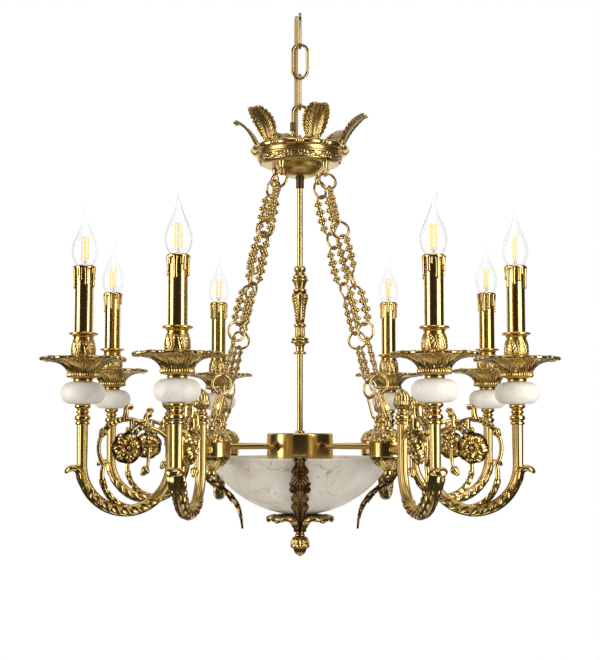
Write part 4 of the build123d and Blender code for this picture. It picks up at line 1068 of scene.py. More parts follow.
def straps():
    """Four dark acanthus straps: volutes on the rim, tiers of lobes, and a tail that flicks down."""
    casting = Casting()
    start = (bowl_rim_radius + 9.0, bowl_rim_z + 1.0)
    spine = bent_line(start, -80, [(bowl_depth * 0.57, -70), (bowl_depth * 0.95, 55)])
    tiers = [(0.36, 1.0, 12.6, 0.0, 4), (0.14, 0.68, 15.2, 1.2, 3), (0.0, 0.40, 12.8, 2.4, 2)]
    for low, high, wide, raised, lobes in tiers:
        grown = np.linspace(0, 1, 60)[:, None]
        part = along(spine, grown[:, 0] * (high - low) + low)
        ahead = directions(part)
        outward = np.stack([-ahead[:, 2], ahead[:, 1], ahead[:, 0]], -1)
        part = part + outward * (raised + 0.9 * grown ** 4 * (high < 1.0))
        tail = 0.06 if high == 1.0 else 0.34

        def half(share, wide=wide, tail=tail):
            return wide * (0.60 + 0.40 * smooth(share, 0, 0.35)) * (1 - (1 - tail) * smooth(share, 0.5, 1.0))
        leaf(casting, part, half, lobes, thick=2.0, cup=-6.0, ribs=1.5, roll=-1.4, notch=0.30, lean=0.10,
             cols=40, rows_per_lobe=36, strands=0.9, vein=0.50, late=1.3, scallop=0.7, veins=4)
    top = (bowl_rim_radius + 1.0, bowl_rim_z + 3.4)
    for side in (-1, 1):
        scroll = bent_line(top, 20, [(5, -60), (11, -250)])
        scroll[:, 1] += side * 5.4
        tube(casting, scroll, np.linspace(2.3, 1.5, len(scroll)), 12, flat=2.0)
    bridge = bent_line((top[0] - 7, top[1] - 1.8), 24, [(6, -20), (8, -60)])
    tube(casting, bridge, 1.6, 12, flat=5.6)
    put_all(casting.mesh("bowl_strap"), "bowl_strap_cast", dark_bronze, [facing(b) for b in around(4)],
            ["bowl_straps"])


def bowl_cup():
    """Leafy cup under the bowl with curled tips round its rim."""
    casting = Casting()
    foot, low = cup_foot_z, bowl_z
    height = low - foot

    def lobed(angle, r, z):
        tip = np.abs(np.cos(4 * angle)) ** 0.6
        out = smooth(r, 30, cup_rim_radius)
        return r * (1 - 0.10 * out * (1 - tip)), z - 1.2 * out ** 3 * tip
    turned(casting, [(4, foot), (8.5, foot), (9.8, foot + 1.2, 9.0, foot + 2.6),
                     (14, foot + height * 0.55, 28, low - 5.5),
                     (cup_rim_radius - 5, low - 3.6),
                     (cup_rim_radius, low - 2.6, cup_rim_radius - 3, low - 1.4),
                     (24, low + 1.2)], 192, relief=leaf_ring(8, 5, 0.12, 0.80), depth=2.0, warp=lobed,
           spacing=0.9, steps=20)
    for bearing in around(8):
        curl = bent_line((cup_rim_radius - 7, -4.0), 10, [(6, -60), (9, -230)])
        tube(casting, curl, np.linspace(2.0, 1.2, len(curl)), 10, flat=2.4, move=facing(bearing, 0, low))
    put(casting.mesh("bowl_cup_cast"), "bowl_cup_cast", soft_brass, nodes=["bowl_cup"])


def finial():
    """Bud with gold petals over a dark tip."""
    unit = (cup_foot_z - finial_z) / 35.0

    def at(height):
        return finial_z + height * unit
    casting = Casting()
    turned(casting, [(0.4, at(0)), (6, at(4), 9.3, at(11)), (11.0, at(15))], 64, relief=flutes(16), depth=0.7,
           spacing=0.8)
    turned(casting, [(9.6, at(12.0)), (finial_radius, at(14.5), finial_radius - 0.4, at(17.5)),
                     (finial_radius - 0.8, at(22), 7.8, at(27.4))], 128, relief=leaf_ring(6, 3, 1.0, -0.02),
           depth=1.9, spacing=0.8, steps=14)
    turned(casting, [(7.8, at(27)), (4.8, at(28.2)), (7.6, at(30.3), 5.0, at(32.4)), (6.2, at(33)),
                     (6.8, at(34), 6.2, at(35))], 48)
    put(casting.mesh("bowl_finial_cast"), "bowl_finial_cast", antique_brass, nodes=["bowl_finial"])


# Arms


def arm_line():
    """Centre line of an arm: inner leg, bend and outer leg."""
    runs = [(leg_length, 0), (math.pi * arm_bend, 180), (leg_length, 0)]
    return bent_line((arm_near, leg_length), -90, runs, 1.6)


def on_bend(radius, degrees):
    """Point at a radius and angle from the bend's centre, in the arm's plane."""
    turn = math.radians(degrees)
    return (arm_middle + radius * math.cos(turn), radius * math.sin(turn))


def arm_bars():
    """Reeded arm with the acanthus leaf under its bend, which ends in a curled lobe."""
    casting = Casting()
    path = arm_line()
    share = shares(path)[:, None]
    angle = np.linspace(0, TURN, 84, endpoint=False)[None, :]
    beside = smooth(np.abs((angle + math.pi) % TURN - math.pi), 0.62, 0.95)
    groove = beside * (0.5 - 0.5 * np.cos(12 * angle)) + 0 * share
    waist = 1 - 0.05 * np.exp(-((share - 0.84) / 0.05) ** 2) - 0.05 * np.exp(-((share - 0.16) / 0.05) ** 2)
    tube(casting, path, arm_radius * 0.97 * waist * (1 - 0.07 * groove), 84, relief=0.9 - 0.6 * groove)
    level = (collar_top_z + collar_z) / 2 - arm_centre_z
    stub = np.stack([np.linspace(spindle_radius - 3, arm_near, 10), np.zeros(10), np.full(10, level)], -1)
    swell = arm_radius * (0.72 + 0.3 * np.abs(np.cos(np.linspace(0, 3 * math.pi, 10))))
    tube(casting, stub, swell, 24, side=(0, 0, 1))
    bar = casting.mesh("arm_reeded")
    casting = Casting()
    arm_leaf(casting)
    horn(casting)
    leafy = casting.mesh("arm_leaf")
    for k, at in enumerate(arm_places):
        pair = [f"arm_pair_{k // 2 + 1}"]
        put(bar, f"arm_reeded_{k + 1}", reeded_brass, at, nodes=pair)
        put(leafy, f"arm_leaf_{k + 1}", antique_brass, at, nodes=pair)


def arm_leaf(casting):
    """Leaf round the outside of the bend, its flame-like lobes swept towards the horn."""
    first, last = -150.0, -16.0
    turn = last - first
    spine = bent_line(on_bend(arm_bend, first), first + 90, [(arm_bend * math.radians(turn), turn)])

    def half(share):
        return arm_radius * (0.6 + 1.75 * smooth(share, 0.0, 0.16)) * (1 - 0.55 * smooth(share, 0.84, 1.0))
    leaf(casting, spine, half, 9, thick=-2.4, ribs=-2.8, roll=-0.8, notch=0.30, lean=0.05, vein=0.22,
         calm=0.95, wrap=-arm_radius * 0.98, cols=48, rows_per_lobe=22, scallop=0.9, late=1.2)


def horn(casting):
    """Broad tongue that leaves the leaf's end and curls away from the leg."""
    first, last = -34.0, -14.0
    round_leaf = arm_bend + arm_radius * 0.42
    curl, curl_turn = arm_radius * 1.30, 150.0
    runs = [(round_leaf * math.radians(last - first), last - first), (arm_radius * 0.6, 0),
            (curl * math.radians(curl_turn), -curl_turn)]
    line = bent_line(on_bend(round_leaf, first), first + 90, runs, 0.8)
    grown = shares(line)
    rounded = np.sqrt(np.clip(1 - (np.clip(grown - 0.82, 0, 1) / 0.182) ** 2.4, 0.02, 1))
    deep = arm_radius * np.interp(grown, [0, 0.4, 0.75, 1], [0.45, 0.76, 0.62, 0.48]) * rounded
    wide = arm_radius * np.interp(grown, [0, 0.4, 0.75, 1], [1.0, 1.46, 1.44, 1.10]) * rounded
    angle = np.linspace(0, TURN, 36, endpoint=False)[None, :]
    ridges = 0.10 * np.cos(5 * angle) * (1 - smooth(grown, 0.45, 0.75))[:, None]
    tube(casting, line, deep[:, None] * (1 + ridges), 36, flat=wide / deep, relief=0.75 + 2.5 * ridges)


def on_scroll(radius, degrees):
    """Point at a radius and angle from the scroll's centre, in the arm's plane."""
    turn = math.radians(degrees)
    return (arm_middle + radius * math.cos(turn), scroll_rise + radius * math.sin(turn))


def plane_points(pairs):
    """Points of the arm's plane as a line in space."""
    return np.array([(x, 0.0, z) for x, z in pairs])


def hook(casting, degrees, heading, length, curl, size):
    """Leafy tendril that leaves the scroll's ring and rolls over at its end."""
    foot = on_scroll(scroll_radius, degrees)
    runs = [(length * 0.5, -curl * 0.12), (length * 0.4, curl * 0.5), (length * 0.32, curl)]
    line = bent_line(foot, heading, runs, 0.8)
    grown = shares(line)
    tube(casting, line, size * (1.45 - 0.85 * grown), 16, flat=1.4 + 0.5 * np.sin(math.pi * grown))


def knuckle(casting, x, z, degrees, outline, count):
    """Turned bud on the scroll whose axis points along an angle of the arm's plane."""
    seat = Matrix.Translation(Vector((x, 0, z)) * MM) @ Matrix.Rotation(math.radians(90 - degrees), 4, "Y")
    turned(casting, outline, 48, relief=flutes(count, 0.15, 0.95), depth=0.9, move=seat, spacing=0.7)


def arm_scrolls():
    """Scroll inside the bend: stem, ring with its husk, tendrils, bellflower, hanging bud and rosette."""
    casting = Casting()
    ring = scroll_radius
    root = (arm_middle - arm_span * 0.10, -arm_span * 0.5 + arm_radius * 0.4)
    stem_line = [root] + arc(root, (arm_middle + ring * 0.52, -arm_span * 0.37), on_scroll(ring, -35), 18)
    junction = on_scroll(ring, 135)
    leg_end = (arm_near + 3, junction[1] - ring * 0.42)
    bulge = ((junction[0] + leg_end[0]) / 2 - 1.5, (junction[1] + leg_end[1]) / 2 + 3)
    tail = arc(junction, bulge, leg_end, 10)
    main = plane_points(stem_line + [on_scroll(ring, a) for a in np.linspace(-33, 135, 64)] + tail)
    grown = shares(main)
    tube(casting, main, np.interp(grown, [0, 0.22, 0.4, 0.75, 1], [4.4, 3.5, 2.8, 3.0, 3.4]), 16)
    stem_leaves(casting, plane_points(stem_line[:15]), 8.2, 3.8, 5)
    x, z = on_scroll(ring, 30)
    knuckle(casting, x, z, 120, [(1.8, -5), (3.6, -4, 2.6, -2), (4.9, 1, 4.4, 5), (3.2, 7)], 8)
    stem_leaves(casting, plane_points([on_scroll(ring, a) for a in np.linspace(34, 92, 40)]), 7.6, 3.2, 6)
    tendrils = [(84, 112, 26, 225, 3.0), (101, -72, 20, 215, 2.6), (133, 100, 23, 225, 2.9),
                (118, 160, 12, 190, 2.2)]
    for tendril in tendrils:
        hook(casting, *tendril)
    for turn in around(6):
        dx, dz = polar(3.6, turn)
        for face in (-2.2, 2.2):
            ball(casting, 2.3, place(junction[0] + dx, face, junction[1] + dz), 10, 7)
    ball(casting, 3.4, place(junction[0], 0, junction[1]), 14, 9)
    bellflower(casting, junction)
    bud(casting, junction)
    rosette(casting)
    put_all(casting.mesh("arm_scroll"), "arm_scroll_cast", antique_brass, arm_places, ["arm_scrolls"])


def stem_leaves(casting, line, half, bar, lobes):
    """Leaf husk round a stem, in two halves."""
    def width(share):
        return half * (0.5 + 0.6 * np.sin(math.pi * np.clip(0.1 + 0.85 * share, 0, 1)))
    for flip in (-1, 1):
        leaf(casting, line, width, lobes, thick=1.3 * flip, ribs=2.2 * flip, roll=-0.9 * flip, notch=0.42,
             lean=0.16, wrap=flip * bar, cols=18, scallop=0.8, late=1.5)


def bellflower(casting, junction):
    """Leafy bell on the stem from the scroll's junction to the rosette."""
    end = on_scroll(rosette_radius * 0.75, 128)
    line = plane_points([junction] + arc(junction, on_scroll(scroll_radius * 0.72, 122), end, 12))
    tube(casting, line, np.linspace(2.2, 3.2, len(line)), 12)
    stem_leaves(casting, line, 6.2, 2.8, 3)


def bud(casting, junction):
    """Stem that hangs from the junction and ends in a leafy bud."""
    line = bent_line(junction, -98, [(28, 6), (24, 10), (6, 36)])
    tube(casting, line, np.linspace(2.9, 2.1, len(line)), 12)
    stem_leaves(casting, line[: len(line) // 2], 5.6, 2.9, 4)
    x, _, z = line[-1]
    knuckle(casting, x, z, -50, [(1.8, -5), (5.2, -1, 4.4, 3), (2.6, 7), (0.4, 9.5)], 6)


def petal(casting, length, wide, lift, bend, swirl, move):
    """Ribbed petal that rises from the heart, rolls over and swirls to one side."""
    rows, cols = 16, 17
    share = np.linspace(0, 1, rows)[:, None]
    across = np.linspace(-1, 1, cols)[None, :]
    half = wide * np.sin(math.pi * (0.12 + 0.60 * share)) ** 0.7
    ribs = 0.5 + 0.5 * np.cos(3 * TURN * across * 0.75)
    fade = smooth(share, 0.05, 0.3)
    out = 2.0 + length * (share - 0.10 * across ** 2 * share) - 1.4 * (1 - ribs) * share ** 4
    turn = math.radians(swirl) * share + half * across / np.maximum(out, 3.0)
    dome = lift + 6.0 * np.sin(math.pi * np.clip(share * 0.9, 0, 1)) ** 0.8 - bend * share ** 3
    level = dome + 1.3 * ribs * fade + 1.8 * across * fade - 1.6 * across ** 4
    front = np.stack([out * np.cos(turn), out * np.sin(turn), level], -1)
    back = front - np.array([0, 0, 1.2])
    value = np.clip(0.28 + 0.75 * ribs * fade + 0.35 * smooth(share, 0.7, 1.0), 0, 1)
    value = value * (1 - 0.5 * across ** 8)
    grid = np.concatenate([front, back[:, ::-1]], 1)
    casting.add(grid, np.concatenate([value, value[:, ::-1]], 1), move=move)


def rosette(casting):
    """Flower at the scroll's centre: swirling ribbed petals and a seeded heart, on both faces."""
    x, z = on_scroll(0, 0)
    for face in (-1, 1):
        front = Matrix.Translation(Vector((x, 0, z)) * MM) @ Matrix.Rotation(math.radians(90 * face), 4, "X")
        for turn in around(7):
            petal(casting, rosette_radius - 0.6, 11.4, 1.0, 5.0, 46, front @ place(turn=turn))
        for turn in around(5, 30):
            petal(casting, rosette_radius * 0.50, 6.6, 4.4, 2.5, 56, front @ place(turn=turn))
        ball(casting, 2.6, front @ place(z=9.6), 14, 9)
        for turn in around(6):
            bx, by = polar(3.1, turn)
            ball(casting, 1.2, front @ place(bx, by, 9.2), 8, 6)
    disc = Matrix.Translation(Vector((x, 0, z)) * MM) @ Matrix.Rotation(math.radians(90), 4, "X")
    turned(casting, [(0.5, -2.6), (rosette_radius * 0.72, -1.6),
                     (rosette_radius * 0.78, 0, rosette_radius * 0.72, 1.6),
                     (0.5, 2.6)], 40, move=disc, relief=lambda a, s: 0.05 + 0 * a * s)


def leg_tops():
    """Collar and acorn on each inner leg."""
    tall = acorn_z - leg_top_z
    wide = arm_radius
    collar = Casting()
    turned(collar, [(4, -0.4), (wide + 0.8, 0), (wide + 2.4, tall * 0.12, wide + 0.8, tall * 0.25),
                    (wide - 0.7, tall * 0.34),
                    (wide + 2.7, tall * 0.57, wide - 0.7, tall * 0.8),
                    (wide + 0.9, tall * 0.9, wide - 0.4, tall), (4, tall)], 48)
    places = [at @ place(arm_near, 0, leg_length) for at in arm_places]
    put_all(collar.mesh("leg_collar"), "leg_collar_turned", plain_brass, places, ["leg_collars"])
    unit = (acorn_top_z - acorn_z) / 31.0
    acorn = Casting()
    turned(acorn, [(4, 0), (5.2, 0), (6.6, 2 * unit, 4.4, 4 * unit), (5.2, 5.2 * unit)], 40)
    turned(acorn, [(4.6, 4.6 * unit), (10.4, 9.5 * unit, 10.8, 14 * unit), (10.2, 15.6 * unit)], 128,
           relief=leaf_ring(8, 3), depth=1.5, spacing=0.7, steps=22)
    turned(acorn, [(10.0, 14.4 * unit), (9.4, 20.5 * unit, 5.2, 27 * unit), (2.4, 29.3 * unit),
                   (0.6, 31 * unit)], 96,
           relief=flutes(10, -0.05, 0.9), depth=1.0, spacing=0.8, steps=16)
    places = [at @ place(arm_near, 0, acorn_z - arm_centre_z) for at in arm_places]
    put_all(acorn.mesh("acorn"), "acorn_cast", soft_brass, places, ["acorns"])


# Candles


def candle_places(level):
    """Places on the outer legs' axes at a level."""
    return [at @ place(arm_reach, 0, level - arm_centre_z) for at in arm_places]


def candle_collars():
    """Turned collar between the outer leg and the stone bead."""
    tall, wide = bead_z - leg_top_z, arm_radius
    casting = Casting()
    turned(casting, [
        (4, -0.5), (wide + 0.9, -0.3), (wide + 2.1, tall * 0.07, wide + 0.9, tall * 0.15),
        (wide - 0.3, tall * 0.18),
        (wide + 3.0, tall * 0.33, wide - 0.2, tall * 0.48), (wide - 1.2, tall * 0.53),
        (wide + 1.1, tall * 0.62, wide - 1.2, tall * 0.71),
        (wide + 0.4, tall * 0.77), (wide + 3.2, tall * 0.88, wide + 2, tall), (4, tall)], 56)
    put_all(casting.mesh("candle_collar"), "candle_collar_turned", plain_brass, candle_places(leg_top_z),
            ["candle_collars"])


def beads():
    """Stone beads, each with its own marks."""
    height = pan_z - bead_z
    edge = height * 0.47
    flat = bead_radius - edge
    skew = edge * math.sqrt(0.5)
    outline = [(5, 0), (flat, 0), (flat + skew, edge - skew, bead_radius, edge), (bead_radius, height - edge),
               (flat + skew, height - edge + skew, flat, height), (5, height)]
    for k, at in enumerate(candle_places(bead_z)):
        casting = Casting()
        turned(casting, outline, 64, steps=14, move=at)
        put(casting.mesh(f"stone_bead_{k + 1}"), f"stone_bead_turned_{k + 1}", bead_stone,
            nodes=["stone_beads"])


def pans():
    """Drip pan: beaded band, leafy bell and a thin rim of leaf tips."""
    tall = (pan_rim_z - pan_z) / 33.0
    casting = Casting()
    turned(casting, [(5, 0), (12.2, 0), (13.0, 2 * tall, 12.2, 4.2 * tall), (17.0, 5.2 * tall),
                     (19.4, 6.6 * tall)], 56)
    turned(casting, [(19.0, 6.4 * tall), (21.2, 9.4 * tall, 19.2, 12.6 * tall)], 240, relief=flutes(36),
           depth=1.0, spacing=0.6, steps=10)

    def tips(angle, r, z):
        lobe = np.abs(np.cos(pan_lobes * angle / 2)) ** 0.55
        small = np.abs(np.cos(pan_lobes * 1.5 * angle)) ** 0.5
        out = smooth(r, 36, pan_radius)
        return r * (1 - out * (0.05 * (1 - lobe) + 0.025 * (1 - small))), z - 1.8 * out ** 4 * lobe

    def rim_relief(angle, share):
        return 0.45 * smooth(share, 0.44, 0.48) * (1 - smooth(share, 0.52, 0.56))
    turned(casting, [(18.6, 12.2 * tall), (25.5, 22.0 * tall, 39, 28 * tall), (pan_radius - 2, 31.4 * tall),
                     (pan_radius, 32.2 * tall, pan_radius - 2, 33.0 * tall), (39, 30.6 * tall),
                     (23.5, 24.5 * tall, 17.3, 13 * tall), (9, 12 * tall)], 288,
           relief=both(leaf_ring(pan_lobes, 6, 0.0, 0.50, 0.55), leaf_ring(pan_lobes * 2, 4, 0.95, 0.50, 0.3),
                       rim_relief),
           depth=2.5, warp=tips, spacing=0.9, steps=30)
    put_all(casting.mesh("drip_pan"), "drip_pan_cast", antique_brass, candle_places(pan_z), ["drip_pans"])


def cups():
    """Leafy candle cup that flares at its rim."""
    floor = (pan_rim_z - pan_z) * 0.30
    rim_level = pan_rim_z - pan_z
    top = cup_top_z - pan_z
    rim = sleeve_radius * 1.48
    casting = Casting()
    turned(casting, [(6, floor), (14.4, floor), (16.6, floor + 10), (14.4, rim_level + 2)], 48)
    turned(casting, [(13.2, rim_level - 2), (15.0, rim_level + 7, 13.0, top - 11), (12.9, top - 9)], 144,
           relief=leaf_ring(6, 5, 0.0, 1.0, swirl=0.35), depth=2.2, spacing=0.8, steps=36)
    turned(casting, [(12.6, top - 12), (14.6, top - 10.6, 13.2, top - 9.2),
                     (14.2, top - 5.2, rim - 1.4, top - 3.2),
                     (rim, top - 2.4, rim - 0.2, top - 0.8), (rim - 1.4, top), (sleeve_radius, top),
                     (sleeve_radius, top - 4)], 64)
    put_all(casting.mesh("candle_cup"), "candle_cup_cast", antique_brass, candle_places(pan_z),
            ["candle_cups"])


def sleeves():
    """Polished sleeve with wax drips round its top."""
    tall = sleeve_top_z - sleeve_z
    body = Casting()
    skin = sleeve_radius - 0.7
    turned(body, [(skin - 0.2, 0), (skin, 0), (skin, tall - 3), (skin - 0.2, tall - 3)], 72, spacing=12)
    put_all(body.mesh("candle_sleeve"), "candle_sleeve_drawn", polished_brass, candle_places(sleeve_z),
            ["candle_sleeves"])
    wax_drips(skin, tall)


def wax_drips(skin, tall):
    """Gilt wax over the sleeve's top: a rounded rim and drips of uneven length."""
    cap = Casting()
    turned(cap, [(skin - 1.4, tall - 4), (skin + 0.2, tall - 6),
                 (skin + 2.9, tall - 3.4, skin + 1.6, tall - 0.6),
                 (skin - 0.2, tall), (skin - 1.4, tall - 0.8)], 72, steps=10, caps=False)
    grown = np.linspace(0, 1, 24)
    for k in range(wax_drip_count):
        long = 8 + 21 * (0.5 + 0.5 * math.sin(2.4 * k + 0.6))
        path = np.stack([skin + 0.8 - 0.4 * grown, 0 * grown, tall - 3.0 - long * grown], -1)
        size = np.interp(grown, [0, 0.25, 0.7, 0.9, 0.97, 1], [2.7, 1.9, 1.6, 2.1, 1.5, 0.3])
        bearing = 360.0 * (k + 0.28 * math.sin(2.1 * k)) / wax_drip_count
        tube(cap, path, size, 14, flat=1.3, relief=0.8, move=facing(bearing))
    put_all(cap.mesh("wax_drips"), "wax_drips_gilt", drip_brass, candle_places(sleeve_z), ["candle_sleeves"])


def bulb_glass():
    """Flame of clear glass with a bent tip, which is solid."""
    rows = np.array([(-6, 10.4, 0), (0, 11.8, 0), (0.07, 14.4, 0), (0.14, 16.4, 0), (0.22, 17.4, 0),
                     (0.29, 17.5, 0),
                     (0.38, 15.9, 0), (0.46, 13.6, 0), (0.55, 10.4, 0.1), (0.64, 7.3, 0.3), (0.72, 4.9, 0.1),
                     (0.80, 3.2, -0.6), (0.88, 2.3, -1.7), (0.95, 1.8, -3.4), (0.992, 1.3, -4.8),
                     (1.0, 0.5, -5.1)])
    rows[2:, 0] *= bulb_height
    fine = np.linspace(0, len(rows) - 1, 90)
    steps = np.arange(len(rows))
    line = np.stack([soft_line(fine, steps, rows[:, k]) for k in range(3)], -1)
    angle = np.linspace(0, TURN, 48, endpoint=False)[None, :]

    def skin(thin):
        radius = np.maximum(line[:, 1:2] - thin, 0.12)
        level = line[:, :1] - thin * smooth(line[:, :1], bulb_height * 0.9, bulb_height) + 0 * angle
        return np.stack([line[:, 2:3] + radius * np.cos(angle), radius * np.sin(angle), level], -1)
    glass = Casting()
    glass.add(np.concatenate([skin(0.0)[::-1], skin(glass_wall)[:70]]), 0.7)
    return glass.mesh("bulb_glass")


def bulb_inside():
    """Meshes of the glass stem with its mast and wires, and of the four filament sticks."""
    inside, sticks = Casting(), Casting()
    turned(inside, [(0.6, -6), (4.2, -6), (3.6, 0), (2.0, 3), (1.1, 6), (0.9, 9)], 24)
    for bearing in around(4, 20):
        x, y = polar(filament_circle_radius, bearing)
        beside = (-y, x, 0.01)
        wire = np.array([(x * 0.3, y * 0.3, 4.0), (x * 0.8, y * 0.8, 6.0), (x, y, filament_low + 0.2)])
        tube(inside, wire, 0.3, 8, side=beside)
        top_wire = np.array([(0.0, 0.0, filament_high + 2.0), (x * 0.7, y * 0.7, filament_high + 1.6),
                             (x, y, filament_high - 0.2)])
        tube(inside, top_wire, 0.3, 8, side=beside)
        stick = np.array([(x, y, level) for level in np.linspace(filament_low, filament_high, 3)])
        tube(sticks, stick, 1.05, 10, side=beside)
    mast = np.array([(0, 0, 6.0), (0, 0, 24.0), (0, 0, filament_high + 2.1)])
    tube(inside, mast, 0.35, 8)
    return inside.mesh("bulb_stem"), sticks.mesh("bulb_filaments")


def bulb_cap():
    """Screw cap with its rolled thread."""
    shell = Casting()
    turned(shell, [(2.2, -33.7), (4.4, -30.7), (7.0, -28.7), (7.0, -7.7), (10.4, -7.7), (10.4, -6)], 40,
           relief=lambda angle, share: 0.5 + 0.5 * np.sin(60 * share + angle), depth=-0.4, spacing=0.6)
    return shell.mesh("bulb_cap")


def bulbs():
    """Flame bulbs, each turned in its holder so that its tip leans its own way."""
    stem_mesh, stick_mesh = bulb_inside()
    pieces = [("glass", bulb_glass(), clear_glass), ("stem", stem_mesh, inner_wire),
              ("filaments", stick_mesh, filament_coat_painted_glow), ("cap", bulb_cap(), satin_brass)]
    for k, (at, turn) in enumerate(zip(candle_places(sleeve_top_z), bulb_turns)):
        body = f"bulb_{k + 1}"
        for label, mesh, material in pieces:
            put(mesh, f"{body}_{label}", material, at @ place(turn=turn), body, [body])


def soft_line(at, steps, values):
    """Smooth line through values that are evenly spaced."""
    slopes = np.gradient(values)
    k = np.clip(np.floor(at).astype(int), 0, len(steps) - 2)
    t = at - k
    a, b = values[k], values[k + 1]
    return ((1 + 2 * t) * (1 - t) ** 2 * a + t * (1 - t) ** 2 * slopes[k]
            + t ** 2 * (3 - 2 * t) * b - t ** 2 * (1 - t) * slopes[k + 1])


# Decorative chains


def flower(casting, radius, move):
    """Flower of four round petals and a heart, the same on both faces."""
    lobe = radius * 0.49
    for turn in around(4):
        x, y = polar(radius - lobe, turn)
        ball(casting, lobe, move @ place(x, y, 0) @ Matrix.Diagonal((1, 1, 0.8, 1)), 14, 9, relief=0.44)
    for face in (-1, 1):
        ball(casting, radius * 0.26, move @ place(0, 0, face * lobe * 0.6), 10, 7, relief=0.95)
    ball(casting, radius * 0.5, move @ Matrix.Diagonal((1, 1, 0.6, 1)), 12, 9, relief=0.05)


def flower_link(span):
    """Link with flowers along both of its strands."""
    casting = Casting()
    wire = 2 * flower_link_wire
    tube(casting, loop_line(span - wire, flower_link_width - wire, wire), flower_link_wire, 12, closed=True,
         relief=0.32)
    upright = Matrix.Rotation(math.radians(90), 4, "X")
    for share, radius in ((-0.31, 6.4), (-0.105, 7.4), (0.105, 7.4), (0.31, 6.4)):
        for strand in (-flower_link_width / 2, flower_link_width / 2):
            flower(casting, radius, place(strand, 0, share * span) @ upright)
    return casting.mesh("chain_flower_link")


def chain_spans(reach):
    """Overlap at every hook of a chain of a given reach, and the length of every ring and link."""
    last = chain_ring_count - 1
    wires = [eye_wire]
    for k in range(chain_ring_count):
        wires += [ring_wire, flower_link_wire if k < last else chain_quick_wire]
    wires.append(eye_wire)
    hooks = [a + b + running_gap for a, b in zip(wires, wires[1:])]
    quick_span = chain_quick_length + 2 * chain_quick_wire
    link_span = (reach + sum(hooks) - chain_ring_count * 2 * ring_radius - quick_span) / last
    spans = []
    for k in range(chain_ring_count):
        spans += [2 * ring_radius, link_span if k < last else quick_span]
    return hooks, spans


def decorative_chains():
    """Rings, flower links, quick links and their sleeves from the crown to the spindles."""
    frames = chain_frames()
    hooks, spans = chain_spans(frames[0][2])
    wire = 2 * chain_quick_wire
    ring = wire_mesh("chain_ring", ring_line(ring_radius, 56), ring_wire)
    link = flower_link(spans[1])
    quick_line = loop_line(chain_quick_length, chain_quick_width, wire)
    quick = wire_mesh("chain_quick_link", quick_line, chain_quick_wire)
    casting = Casting()
    screw_sleeve(casting, 4.6 * chain_quick_wire, chain_quick_wire + 1.5)
    sleeve = casting.mesh("chain_screw_sleeve")
    mouth = spans[-1] * 0.06 + 1.2 * chain_quick_wire
    side = (chain_quick_width + wire) / 2
    for number, (start, way, _) in enumerate(frames):
        level = way.cross(Vector((0, 0, 1))).normalized()
        basis = Matrix((level, way.cross(level), way)).transposed().to_4x4()
        turns = front_chain_turns if way.y < 0 else back_chain_turns
        hand = 1 if way.x > 0 else -1
        at = 0.0
        for k, span in enumerate(spans):
            at -= hooks[k]
            middle = start + way * (at + span / 2)
            at += span
            roll = quarter_bearings[number] + hand * turns[k]
            seat = Matrix.Translation(middle * MM) @ basis @ place(turn=roll)
            tag = f"{number + 1}_{k + 1}"
            if k % 2 == 0:
                put(ring, f"chain_ring_{tag}", plain_brass, seat, nodes=["chain_rings"])
            elif k < len(spans) - 1:
                put(link, f"chain_flower_link_{tag}", antique_brass, seat, nodes=["chain_flower_links"])
            else:
                put(quick, f"chain_quick_link_{tag}", plain_brass, seat, nodes=["chain_quick_links"])
                name = f"chain_sleeve_{number + 1}"
                put(sleeve, f"{name}_turned", satin_brass, seat @ place(-side, 0, mouth), name, [name])


def chain_frames():
    """Top, direction and length of every decorative chain."""
    frames = []
    for post, foot in zip(post_bearings, quarter_bearings):
        top = Vector((*polar(post_circle_radius, post), deck_z - post_length - eye_radius))
        bottom = Vector((*polar(spindle_circle_radius, foot), collar_top_z + eye_seat + eye_radius))
        way = (bottom - top).normalized()
        frames.append((top + way * eye_radius, way, (bottom - top).length - 2 * eye_radius))
    return frames


# Supply cable


def cable_span(number, high, low):
    """One span of the cable, which bends where the chain does."""
    curve = bpy.data.curves.new(f"supply_cable_line_{number}", "CURVE")
    curve.dimensions = "3D"
    line = curve.splines.new("NURBS")
    route = [(-cable_off, cable_off, high), (-cable_off - 0.15, cable_off + 0.1, (high + low) / 2),
             (-cable_off, cable_off, low)]
    line.points.add(len(route) - 1)
    for point, (x, y, z) in zip(line.points, route):
        point.co = (x * MM, y * MM, z * MM, 1)
    line.order_u = 3
    line.use_endpoint_u = True
    line.resolution_u = 8
    guide = bpy.data.objects.new(f"supply_cable_guide_{number}", curve)
    path = np.array([v.co[:] for v in bpy.data.meshes.new_from_object(guide).vertices]) / MM
    bpy.data.objects.remove(guide)
    casting = Casting()
    tube(casting, path, cable_radius, 20)
    piece = bpy.data.objects.new(f"supply_cable_span_{number}", casting.mesh(f"supply_cable_span_{number}"))
    piece.data.materials.append(cable_skin)
    bpy.context.scene.collection.objects.link(piece)
    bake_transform(piece)
    return piece, path[::-1] * MM


def supply_cable():
    """Cable beside the chain, in one span for each joint of the chain, and its bare cores at the top."""
    joints = [-link_inner_length - link_wire / 2 - k * link_step for k in range(4)]
    top = -link_wire
    bottom = deck_z - 7.0
    cuts = [top] + [(a + b) / 2 for a, b in zip(joints, joints[1:])] + [bottom]
    spans = [cable_span(k + 1, cuts[k], cuts[k + 1]) for k in range(4)]
    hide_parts("supply_cable")
    cores = Casting()
    for turn in around(3):
        x, y = polar(cable_radius * 0.52, turn)
        path = np.array([(x - cable_off, y + cable_off, top + rise) for rise in (-2, 3, 6)])
        tube(cores, path, cable_radius * 0.4, 10)
    put(cores.mesh("cable_cores"), "supply_cable_cores", inner_wire, body="chain_link_top")


# Finishes of the solids that stay


